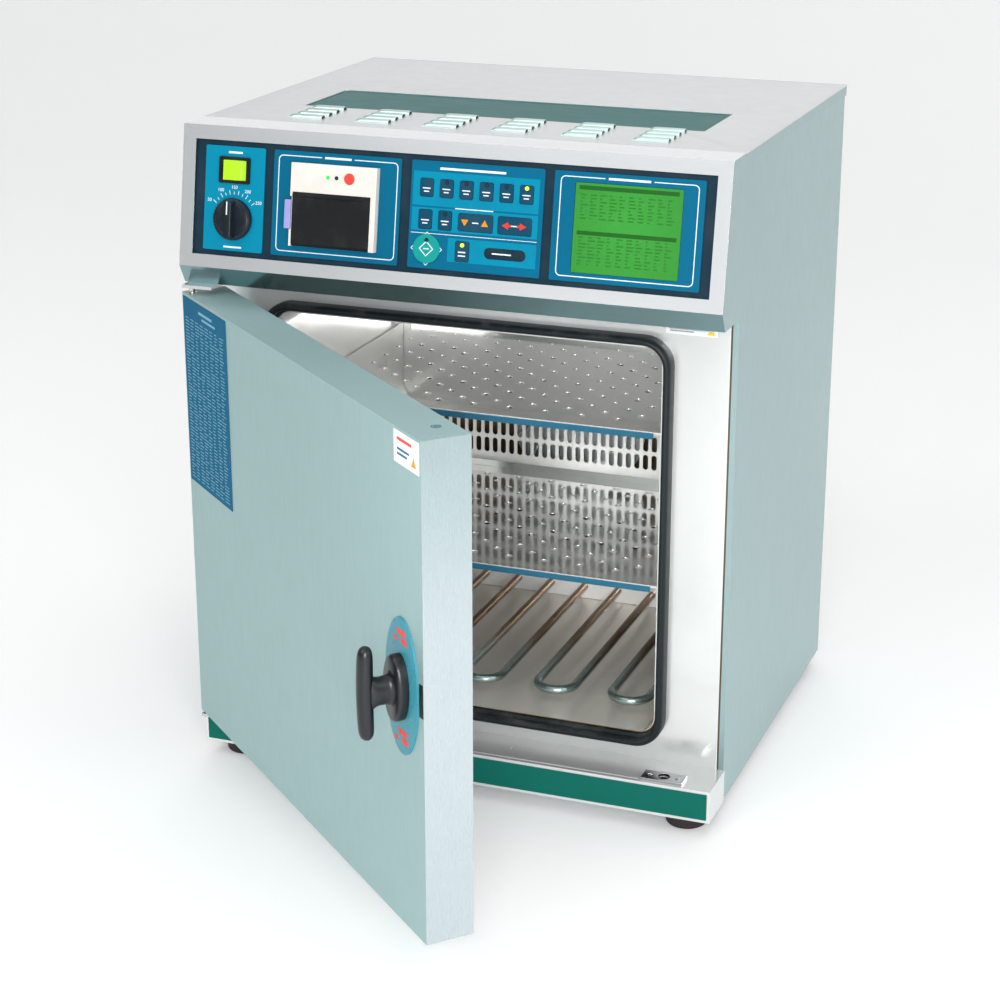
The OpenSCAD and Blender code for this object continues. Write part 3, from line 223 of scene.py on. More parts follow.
class SterilizerStudio(bpy.types.PropertyGroup):
    """Floor, lights and camera"""
    floor: colour("Floor", "Pale floor", 250, 250, 250)
    lens: FloatProperty(name="Lens", description="Focal length of the camera", default=0.083,
                        unit="CAMERA")
    eye: FloatVectorProperty(name="Eye", description="Place of the camera", subtype="TRANSLATION",
                             default=(0.754, -2.079, 1.004))
    yaw: FloatProperty(name="Yaw", description="Turn of the camera", subtype="ANGLE",
                       default=math.radians(20.65))
    pitch: FloatProperty(name="Pitch", description="Fall of the camera's line of sight",
                         subtype="ANGLE", default=math.radians(19.3))
    key: power("Key light", "Power of the key light", 26.0)
    fill: power("Fill light", "Power of the fill light", 9.0)
    front: power("Front light", "Power of the light on the opening", 20.0)
    beam: power("Chamber light", "Power of the narrow light into the chamber", 130.0)
    sky: FloatProperty(name="Sky", description="Strength of the studio's pale surroundings",
                       default=0.85)
    shade: FloatProperty(name="Shade", description="Share of the surroundings' light at the left",
                         default=0.25, min=0, max=1)


def sizes():
    return bpy.context.scene.sterilizer_sizes


def colours():
    return bpy.context.scene.sterilizer_colours


def mm(value):
    return value / MM


# Shapes

def rounded(w, h, r, x=0.0, y=0.0, steps=6):
    """Outline of a rounded rectangle, counter-clockwise."""
    points = []
    for i, (sx, sy) in enumerate(((1, 1), (-1, 1), (-1, -1), (1, -1))):
        cx, cy = x + sx * (w / 2 - r), y + sy * (h / 2 - r)
        for k in range(steps + 1):
            a = math.pi / 2 * (i + k / steps)
            points.append((cx + r * math.cos(a), cy + r * math.sin(a)))
    return points


def oval(rx, ry, steps=64, x=0.0, y=0.0):
    return [(x + rx * math.cos(2 * math.pi * i / steps), y + ry * math.sin(2 * math.pi * i / steps))
            for i in range(steps)]


class Form:
    """A mesh being drawn in millimetres; matrix places what comes next."""

    def __init__(self):
        self.bm = bmesh.new()
        self.matrix = Matrix.Identity(4)
        self.finish = 0

    def _verts(self, points):
        return [self.bm.verts.new(self.matrix @ Vector(p)) for p in points]

    def _face(self, verts, smooth=True):
        face = self.bm.faces.new(verts)
        face.material_index = self.finish
        face.smooth = smooth
        return face

    def loft(self, rings, closed_ends=True, closed_loop=False):
        """Faces between rings of as many points each."""
        rows = [self._verts(ring) for ring in rings]
        n = len(rows[0])
        pairs = list(zip(rows, rows[1:])) + ([(rows[-1], rows[0])] if closed_loop else [])
        for low, high in pairs:
            for i in range(n):
                j = (i + 1) % n
                self._face((low[i], low[j], high[j], high[i]))
        if closed_ends and not closed_loop:
            self._face(list(reversed(rows[0])))
            self._face(rows[-1])
        return self

    def prism(self, outline, z0, z1):
        return self.loft([[(x, y, z) for x, y in outline] for z in (z0, z1)])

    def block(self, x0, x1, y0, y1, z0, z1):
        return self.prism([(x0, y0), (x1, y0), (x1, y1), (x0, y1)], z0, z1)

    def crowned(self, outline, z0, z1, edge, steps=3):
        """A prism whose upper edge is rounded inwards by edge."""
        cx = sum(p[0] for p in outline) / len(outline)
        cy = sum(p[1] for p in outline) / len(outline)
        half_w = max(abs(p[0] - cx) for p in outline)
        half_h = max(abs(p[1] - cy) for p in outline)
        rings = [[(x, y, z0) for x, y in outline]]
        for k in range(steps + 1):
            a = math.pi / 2 * k / steps
            cut = edge * (1 - math.cos(a))
            sx, sy = 1 - cut / half_w, 1 - cut / half_h
            rings.append([(cx + (x - cx) * sx, cy + (y - cy) * sy, z1 - edge * (1 - math.sin(a)))
                          for x, y in outline])
        return self.loft(rings)

    def turned(self, profile, steps=48):
        """A profile of (radius, height) turned about z; ends on the axis are closed."""
        rings = []
        for r, z in profile:
            r = max(r, 0.001)
            rings.append([(r * math.cos(2 * math.pi * i / steps), r * math.sin(2 * math.pi * i / steps), z)
                          for i in range(steps)])
        return self.loft(rings)

    def sweep_frame(self, profile, w, h, r, steps=8):
        """A closed moulding: profile points (outwards, forwards) carried round a rounded
        rectangle that stands in x-z; forwards is -y."""
        rings = []
        for i, (sx, sz) in enumerate(((1, 1), (-1, 1), (-1, -1), (1, -1))):
            cx, cz = sx * (w / 2 - r), sz * (h / 2 - r)
            for k in range(steps + 1):
                a = math.pi / 2 * (i + k / steps)
                rings.append([(cx + (r + out) * math.cos(a), -front, cz + (r + out) * math.sin(a))
                              for out, front in profile])
        return self.loft(rings, closed_loop=True)

    def ribbon(self, points, width, z0, z1, closed=False):
        """A printed line of even width along points, as a thin solid."""
        pts = [Vector((p[0], p[1])) for p in points]
        n = len(pts)
        left, right = [], []
        for i, p in enumerate(pts):
            before = pts[i - 1] if (i or closed) else None
            after = pts[(i + 1) % n] if (i < n - 1 or closed) else None
            d0 = (p - before).normalized() if before is not None else (after - p).normalized()
            d1 = (after - p).normalized() if after is not None else d0
            normal = Vector((-(d0 + d1).y, (d0 + d1).x)).normalized()
            reach = width / 2 / max(0.3, normal.dot(Vector((-d0.y, d0.x))))
            left.append(p + normal * reach)
            right.append(p - normal * reach)
        rings = []
        for a, b in zip(left, right):
            rings.append([(a.x, a.y, z0), (b.x, b.y, z0), (b.x, b.y, z1), (a.x, a.y, z1)])
        return self.loft(rings, closed_ends=not closed, closed_loop=closed)

    def arc(self, radius, start, end, width, z0, z1, steps=24):
        points = [(radius * math.cos(math.radians(start + (end - start) * i / steps)),
                   radius * math.sin(math.radians(start + (end - start) * i / steps)))
                  for i in range(steps + 1)]
        return self.ribbon(points, width, z0, z1)

    def add_mesh(self, mesh):
        """Adds a mesh that is already in millimetres."""
        before = len(self.bm.verts)
        faces = len(self.bm.faces)
        self.bm.from_mesh(mesh)
        self.bm.verts.ensure_lookup_table()
        self.bm.faces.ensure_lookup_table()
        bmesh.ops.transform(self.bm, matrix=self.matrix, verts=self.bm.verts[before:])
        for face in self.bm.faces[faces:]:
            face.material_index = self.finish
        return self

    def mesh(self, name):
        bmesh.ops.recalc_face_normals(self.bm, faces=self.bm.faces)
        mesh = bpy.data.meshes.new(name)
        self.bm.to_mesh(mesh)
        self.bm.free()
        return mesh


def place_piece(name, mesh, place, body, names, stands_for=(), edge=0.0, angle=30):
    """Puts a mesh in place as a piece that rides on a body; names lists its finishes."""
    mesh.transform(place)
    for index, key in enumerate(names.split()):
        if index < len(mesh.materials):
            mesh.materials[index] = finish(key)
        else:
            mesh.materials.append(finish(key))
    for poly in mesh.polygons:
        poly.use_smooth = True
    mesh.update()
    piece = bpy.data.objects.new(name, mesh)
    bpy.context.scene.collection.objects.link(piece)
    if edge:
        bevel = piece.modifiers.new("edge", "BEVEL")
        bevel.width = edge
        bevel.segments = 2
        bevel.limit_method = "ANGLE"
        bevel.angle_limit = math.radians(angle)
        flat = piece.modifiers.new("flat_faces", "WEIGHTED_NORMAL")
        flat.mode = "FACE_AREA"
        flat.weight = 90
    else:
        mesh.set_sharp_from_angle(angle=math.radians(angle))
    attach(piece, body)
    if stands_for:
        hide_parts(*stands_for)


def face_piece(name, form, body, names):
    """A piece that is drawn on the sloped panel."""
    place_piece(name, form.mesh(name), FACE, body, names)


def rounded_copy(node, edge, names, choose=None):
    """A merged copy of a CAD node with rounded edges, standing for it. choose gives the
    finish of a face from its middle in the row's frame and its normal."""
    source = NODES[node]
    name = node + "_piece"
    bm = bmesh.new()
    bm.from_mesh(source.data)
    bmesh.ops.remove_doubles(bm, verts=bm.verts, dist=2e-6)
    bmesh.ops.dissolve_limit(bm, angle_limit=math.radians(0.5), verts=bm.verts, edges=bm.edges)
    if choose:
        for face in bm.faces:
            face.material_index = choose(face.calc_center_median(), face.normal)
    mesh = bpy.data.meshes.new(name)
    bm.to_mesh(mesh)
    bm.free()
    place_piece(name, mesh, Matrix.Identity(4), source["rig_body"], names, (node,), edge)


def lettering(text, size):
    """A mesh of plain figures, centred, 0.1 mm thick, in millimetres."""
    curve = bpy.data.curves.new("figures", "FONT")
    curve.body = text
    curve.size = size
    curve.align_x = "CENTER"
    curve.align_y = "CENTER"
    curve.extrude = 0.05
    carrier = bpy.data.objects.new("figures", curve)
    bpy.context.scene.collection.objects.link(carrier)
    mesh = bpy.data.meshes.new_from_object(carrier.evaluated_get(bpy.context.evaluated_depsgraph_get()))
    bpy.data.objects.remove(carrier)
    bpy.data.curves.remove(curve)
    return mesh


# Geometry node trees

class Tree:
    """A node tree being built, with short ways to add nodes and links."""

    def __init__(self, tree):
        self.tree = tree

    def add(self, kind, settings=None, **values):
        node = self.tree.nodes.new(kind)
        for key, value in (settings or {}).items():
            setattr(node, key, value)
        for key, value in values.items():
            self.put(node, key.replace("_", " "), value)
        return node

    def put(self, node, key, value):
        socket = node.inputs[int(key)] if key.isdigit() else node.inputs[key]
        if isinstance(value, bpy.types.NodeSocket):
            self.tree.links.new(value, socket)
        else:
            socket.default_value = value

    def link(self, source, node, key):
        self.tree.links.new(source, node.inputs[key])

    def object_place(self):
        return self.add("ShaderNodeTexCoord").outputs["Object"]

    def axis(self, index):
        """One object coordinate."""
        return self.add("ShaderNodeSeparateXYZ", Vector=self.object_place()).outputs[index]

    def span(self, value, start, end, low=0.0, high=1.0, settings=None):
        """A value carried from start and end to low and high."""
        return self.add("ShaderNodeMapRange", settings, Value=value, From_Min=start, From_Max=end,
                        To_Min=low, To_Max=high).outputs[0]

    def math(self, operation, a, b=None, clamp=False):
        node = self.tree.nodes.new("ShaderNodeMath")
        node.operation = operation
        node.use_clamp = clamp
        self.put(node, "0", a)
        if b is not None:
            self.put(node, "1", b)
        return node.outputs[0]

    def vector(self, operation, a, b):
        node = self.tree.nodes.new("ShaderNodeVectorMath")
        node.operation = operation
        self.put(node, "0", a)
        self.put(node, "1", b)
        return node.outputs[0]


def node_group(name, kind, inputs, outputs):
    """A group with named sockets: {name: (type, default)}."""
    tree = bpy.data.node_groups.new(name, kind)
    for key, (socket, default) in inputs.items():
        item = tree.interface.new_socket(key, in_out="INPUT", socket_type="NodeSocket" + socket)
        if default is not None:
            item.default_value = default
    for key, socket in outputs.items():
        tree.interface.new_socket(key, in_out="OUTPUT", socket_type="NodeSocket" + socket)
    t = Tree(tree)
    enter = tree.nodes.new("NodeGroupInput")
    leave = tree.nodes.new("NodeGroupOutput")
    return t, enter.outputs, leave.inputs


def grid_points(t, given):
    """Points of a centred grid; every second row is shifted by the stagger."""
    wide = t.math("MULTIPLY", t.math("SUBTRACT", given["Columns"], 1.0), given["Pitch X"])
    deep = t.math("MULTIPLY", t.math("SUBTRACT", given["Rows"], 1.0), given["Pitch Y"])
    grid = t.add("GeometryNodeMeshGrid", Size_X=wide, Size_Y=deep, Vertices_X=given["Columns"],
                 Vertices_Y=given["Rows"])
    place = t.add("GeometryNodeInputPosition")
    parts = t.add("ShaderNodeSeparateXYZ", Vector=place.outputs[0])
    row = t.math("DIVIDE", t.math("ADD", parts.outputs[1], t.math("DIVIDE", deep, 2.0)), given["Pitch Y"])
    odd = t.math("MODULO", t.math("ROUND", row), 2.0)
    step = t.add("ShaderNodeCombineXYZ", X=t.math("MULTIPLY", odd, given["Stagger"]))
    return t.add("GeometryNodeSetPosition", Geometry=grid.outputs["Mesh"],
                 Offset=t.vector("ADD", step.outputs[0], given["Middle"])).outputs[0]


SMOOTH = {"interpolation_type": "SMOOTHSTEP"}
GRID_INPUTS = {"Geometry": ("Geometry", None), "Pattern": ("Object", None), "Columns": ("Int", 4),
               "Rows": ("Int", 4), "Pitch X": ("Float", 10.0), "Pitch Y": ("Float", 10.0),
               "Stagger": ("Float", 0.0), "Middle": ("Vector", (0, 0, 0)), "Finish": ("Material", None)}


def copied(t, given, points, **more):
    """Copies of the pattern on points, as real geometry."""
    pattern = t.add("GeometryNodeObjectInfo", Object=given["Pattern"])
    copies = t.add("GeometryNodeInstanceOnPoints", Points=points,
                   Instance=pattern.outputs["Geometry"], **more)
    return t.add("GeometryNodeRealizeInstances", Geometry=copies.outputs[0]).outputs[0]


def ended(t, given, result, shape):
    """Gives the shape its finish and ends the tree."""
    done = t.add("GeometryNodeSetMaterial", Geometry=shape, Material=given["Finish"])
    t.tree.links.new(done.outputs[0], result["Geometry"])
    return t.tree


def geometry_group(name, inputs):
    return node_group(name, "GeometryNodeTree", inputs, {"Geometry": "Geometry"})


def rows_tree():
    """Copies of a pattern on a grid."""
    t, given, result = geometry_group("Rows of pieces", GRID_INPUTS)
    return ended(t, given, result, copied(t, given, grid_points(t, given)))


def pierced_tree():
    """A sheet with a grid of holes cut by a pattern."""
    t, given, result = geometry_group("Pierced sheet", GRID_INPUTS)
    cut = t.add("GeometryNodeMeshBoolean", {"operation": "DIFFERENCE"})
    t.link(given["Geometry"], cut, "Mesh 1")
    t.link(copied(t, given, grid_points(t, given)), cut, "Mesh 2")
    real = t.add("GeometryNodeRealizeInstances", Geometry=cut.outputs[0])
    return ended(t, given, result, real.outputs[0])


def ruled_tree():
    """Lines of print without letters: bars of random length on a grid."""
    inputs = {**GRID_INPUTS, "Shortest": ("Float", 0.3), "Seed": ("Int", 1)}
    t, given, result = geometry_group("Lines of print", inputs)
    lengths = t.add("FunctionNodeRandomValue", {"data_type": "FLOAT"}, Seed=given["Seed"])
    t.link(given["Shortest"], lengths, 2)
    lengths.inputs[3].default_value = 1.0
    scale = t.add("ShaderNodeCombineXYZ", X=lengths.outputs[1], Y=1.0, Z=1.0)
    return ended(t, given, result, copied(t, given, grid_points(t, given), Scale=scale.outputs[0]))


def screws_tree():
    """A screw on every point, its head along the point's direction."""
    inputs = {key: GRID_INPUTS[key] for key in ("Geometry", "Pattern", "Finish")}
    t, given, result = geometry_group("Screws on points", inputs)
    heading = t.add("GeometryNodeInputNamedAttribute", {"data_type": "FLOAT_VECTOR"}, Name="heading")
    facing = t.add("FunctionNodeAlignRotationToVector", {"axis": "Z"}, Vector=heading.outputs[0])
    shape = copied(t, given, given["Geometry"], Rotation=facing.outputs[0])
    return ended(t, given, result, shape)


def grown(tree, pattern=None, start=None, **values):
    """The plain mesh that a tree makes from a start mesh and a pattern mesh."""
    carrier = bpy.data.objects.new("carrier", start or bpy.data.meshes.new("empty"))
    bpy.context.scene.collection.objects.link(carrier)
    values = {key.replace("_", " "): value for key, value in values.items()}
    if pattern is not None:
        values["Pattern"] = bpy.data.objects.new("pattern", pattern)
        bpy.context.scene.collection.objects.link(values["Pattern"])
    rule = carrier.modifiers.new("rule", "NODES")
    rule.node_group = tree
    for item in tree.interface.items_tree:
        if item.in_out == "INPUT" and item.name in values:
            rule[item.identifier] = values[item.name]
    mesh = bpy.data.meshes.new_from_object(carrier.evaluated_get(bpy.context.evaluated_depsgraph_get()))
    carrier.modifiers.remove(rule)
    bpy.data.objects.remove(carrier)
    if pattern is not None:
        bpy.data.objects.remove(values["Pattern"])
    return mesh


# Finishes

def grain_group():
    """Fine drawn lines or plain speckle, from object coordinates."""
    t, given, result = node_group(
        "Fine grain", "ShaderNodeTree",
        {"Scale": ("Float", 900.0), "Stretch": ("Vector", (1, 1, 1)), "Contrast": ("Float", 1.0)},
        {"Value": "Float"})
    drawn = t.vector("MULTIPLY", t.object_place(), given["Stretch"])
    noise = t.add("ShaderNodeTexNoise", Vector=drawn, Scale=given["Scale"], Detail=3.0, Roughness=0.6)
    centred = t.math("MULTIPLY", t.math("SUBTRACT", noise.outputs["Fac"], 0.5), given["Contrast"])
    t.tree.links.new(t.math("ADD", centred, 0.5, clamp=True), result["Value"])
    return t.tree


def smudge_group():
    """Broad soft patches of handling and dust."""
    t, given, result = node_group(
        "Smudges", "ShaderNodeTree",
        {"Scale": ("Float", 9.0), "Amount": ("Float", 0.3), "Dust": ("Float", 0.2)},
        {"Mask": "Float", "Dust": "Float"})
    broad = t.add("ShaderNodeTexNoise", Vector=t.object_place(), Scale=given["Scale"],
                  Detail=5.0, Roughness=0.62, Distortion=0.4)
    edge = t.span(broad.outputs["Fac"], 0.42, 0.72, settings=SMOOTH)
    t.tree.links.new(t.math("MULTIPLY", edge, given["Amount"]), result["Mask"])
    shape = t.add("ShaderNodeNewGeometry")
    up = t.add("ShaderNodeSeparateXYZ", Vector=shape.outputs["Normal"])
    flat = t.math("MAXIMUM", up.outputs[2], 0.0)
    t.tree.links.new(t.math("MULTIPLY", t.math("MULTIPLY", flat, edge), given["Dust"]),
                     result["Dust"])
    return t.tree


def wear_group():
    """Rubbed edges, where the surface is sharply convex."""
    t, given, result = node_group(
        "Edge wear", "ShaderNodeTree",
        {"Scale": ("Float", 60.0), "Amount": ("Float", 0.5)}, {"Mask": "Float"})
    noise = t.add("ShaderNodeTexNoise", Vector=t.object_place(), Scale=given["Scale"], Detail=4.0)
    shape = t.add("ShaderNodeNewGeometry")
    sharp = t.span(shape.outputs["Pointiness"], 0.53, 0.60)
    both = t.math("MULTIPLY", sharp, noise.outputs["Fac"])
    t.tree.links.new(t.math("MULTIPLY", both, given["Amount"], clamp=True), result["Mask"])
    return t.tree


def box_mask_group():
    """One inside a rounded box, nought outside, on a flat pattern."""
    t, given, result = node_group(
        "Box mask", "ShaderNodeTree",
        {"Vector": ("Vector", (0, 0, 0)), "Middle": ("Vector", (0, 0, 0)),
         "Half size": ("Vector", (1, 1, 1)), "Blur": ("Float", 0.05)}, {"Mask": "Float"})
    away = t.add("ShaderNodeVectorMath", {"operation": "ABSOLUTE"})
    t.tree.links.new(t.vector("SUBTRACT", given["Vector"], given["Middle"]), away.inputs[0])
    past = t.add("ShaderNodeSeparateXYZ", Vector=t.vector("SUBTRACT", given["Half size"], away.outputs[0]))
    inside = t.math("MINIMUM", past.outputs[0], past.outputs[1])
    t.tree.links.new(t.math("DIVIDE", inside, given["Blur"], clamp=True), result["Mask"])
    return t.tree


GROUPS = {}


class Finish:
    """A material being built round one Principled BSDF."""

    def __init__(self, name, base, rough, metal=0.0, **sockets):
        self.material = bpy.data.materials.new(name)
        self.material.use_nodes = True
        self.material.diffuse_color = (*base, 1.0)
        self.t = Tree(self.material.node_tree)
        self.nodes = self.material.node_tree.nodes
        self.shader = self.nodes["Principled BSDF"]
        self.colour = self._rgb(base)
        self.rough = rough
        self.height = None
        self.shader.inputs["Metallic"].default_value = metal
        for key, value in sockets.items():
            self.shader.inputs[key.replace("_", " ")].default_value = value

    def _rgb(self, value):
        if isinstance(value, bpy.types.NodeSocket):
            return value
        return (*value[:3], 1.0)

    def group(self, name, **values):
        node = self.nodes.new("ShaderNodeGroup")
        node.node_tree = GROUPS[name]
        for key, value in values.items():
            self.t.put(node, key.replace("_", " "), value)
        return node.outputs

    def blend(self, factor, other, how="MIX"):
        """Mixes the colour so far with another."""
        node = self.nodes.new("ShaderNodeMix")
        node.data_type = "RGBA"
        node.blend_type = how
        for index, value in ((0, factor), (6, self.colour), (7, self._rgb(other))):
            if isinstance(value, bpy.types.NodeSocket):
                self.t.tree.links.new(value, node.inputs[index])
            else:
                node.inputs[index].default_value = value
        self.colour = node.outputs[2]
        return self

    def shade(self, value, low, high):
        """Varies the roughness between low and high by a value."""
        self.rough = self.t.span(value, 0.0, 1.0, low, high)
        return self

    def bump(self, value, strength, distance=0.0002):
        self.height = (value, strength, distance)
        return self

    def done(self):
        links = self.t.tree.links
        for key, value in (("Base Color", self.colour), ("Roughness", self.rough)):
            if isinstance(value, bpy.types.NodeSocket):
                links.new(value, self.shader.inputs[key])
            else:
                self.shader.inputs[key].default_value = value
        if self.height:
            value, strength, distance = self.height
            bump = self.nodes.new("ShaderNodeBump")
            bump.inputs["Strength"].default_value = strength
            bump.inputs["Distance"].default_value = distance
            links.new(value, bump.inputs["Height"])
            links.new(bump.outputs[0], self.shader.inputs["Normal"])
        return self.material


def darker(c, k):
    return tuple(min(1.0, x * k) for x in c[:3])


def brushed(name, base, stretch, rough=0.32, scale=700.0, contrast=1.2, smudge=0.2, dust=0.08,
            metal=1.0, tint=None):
    """Sheet metal with drawn lines, handling marks and a little dust; it may carry a
    painted reflection: a colour blended in between two heights."""
    f = Finish(name, base, rough, metal)
    # Painted reflection: the given colour is blended in above the lower height, up to 0.8 at the upper
    if tint:
        f.blend(f.t.span(f.t.axis(2), *tint[1:], high=0.8), tint[0])
    lines = f.group("Fine grain", Scale=scale, Stretch=stretch, Contrast=contrast)["Value"]
    marks = f.group("Smudges", Scale=7.0, Amount=smudge, Dust=dust)
    f.blend(f.t.math("MULTIPLY", lines, 0.5), darker(base, 0.85)).blend(marks["Mask"], darker(base, 0.9))
    f.blend(marks["Dust"], (0.62, 0.61, 0.58))
    f.blend(f.group("Edge wear", Amount=0.6)["Mask"], darker(base, 1.15))
    return f.shade(lines, rough - 0.06, rough + 0.08).bump(lines, 0.12, 0.00003).done()


def mirrored(name, base, rough=0.12, wave=0.25, warm=None, warm_z=(0.08, 0.17), metal=1.0):
    """Polished sheet with slow waves; low down it may be tinted by heat."""
    f = Finish(name, base, rough, metal)
    marks = f.group("Smudges", Scale=14.0, Amount=0.35, Dust=0.1)
    if warm:
        f.blend(f.t.span(f.t.axis(2), *warm_z, 0.85, 0.0), warm)
    waves = f.t.add("ShaderNodeTexNoise", Vector=f.t.object_place(), Scale=11.0, Detail=2.0,
                    Roughness=0.45)
    fine = f.group("Fine grain", Scale=500.0, Stretch=(1, 0.06, 1), Contrast=0.8)["Value"]
    f.blend(marks["Mask"], darker(base, 0.86))
    f.shade(f.t.math("ADD", f.t.math("MULTIPLY", fine, 0.5), marks["Mask"]), rough - 0.05, rough + 0.14)
    return f.bump(waves.outputs["Fac"], wave, 0.004).done()


def moulded(name, base, rough=0.42, speckle=0.15, wear=0.3, **sockets):
    """Moulded plastic or rubber with a fine texture."""
    f = Finish(name, base, rough, 0.0, **sockets)
    grain = f.group("Fine grain", Scale=1400.0, Contrast=1.4)["Value"]
    marks = f.group("Smudges", Scale=26.0, Amount=0.4, Dust=0.12)
    f.blend(marks["Mask"], darker(base, 0.82)).blend(marks["Dust"], (0.55, 0.54, 0.52))
    f.blend(f.group("Edge wear", Amount=wear)["Mask"], tuple(min(1, x * 1.5 + 0.05) for x in base[:3]))
    return f.shade(marks["Mask"], rough, rough + 0.14).bump(grain, speckle, 0.00004).done()


def film(name, base, rough=0.28):
    """Printed plastic film over a plate."""
    f = Finish(name, base, rough, 0.0, Specular_IOR_Level=0.16)
    grain = f.group("Fine grain", Scale=2200.0, Contrast=1.0)["Value"]
    marks = f.group("Smudges", Scale=18.0, Amount=0.3, Dust=0.06)
    f.blend(grain, darker(base, 0.92)).blend(marks["Mask"], darker(base, 0.88))
    return f.shade(marks["Mask"], rough, rough + 0.15).bump(grain, 0.05, 0.00003).done()


def lit(name, base, strength, rough=0.3):
    """A lamp or lit plate that glows a little by itself."""
    f = Finish(name, base, rough, 0.0, Emission_Strength=strength)
    uneven = f.t.add("ShaderNodeTexNoise", Vector=f.t.object_place(), Scale=60.0, Detail=1.0)
    f.blend(f.t.math("MULTIPLY", uneven.outputs["Fac"], 0.35), darker(base, 1.35))
    f.t.tree.links.new(f.colour, f.shader.inputs["Emission Color"])
    return f.bump(uneven.outputs["Fac"], 0.04, 0.0001).done()


def face_coordinates(f):
    """Object coordinates turned into millimetres on the face: x, up, out."""
    inverse = FACE.inverted()
    mapping = f.t.add("ShaderNodeMapping", Vector=f.t.object_place())
    mapping.inputs["Location"].default_value = inverse.to_translation()
    mapping.inputs["Rotation"].default_value = inverse.to_euler()
    mapping.inputs["Scale"].default_value = (1 / MM,) * 3
    return mapping.outputs[0]


FINISHES = {}


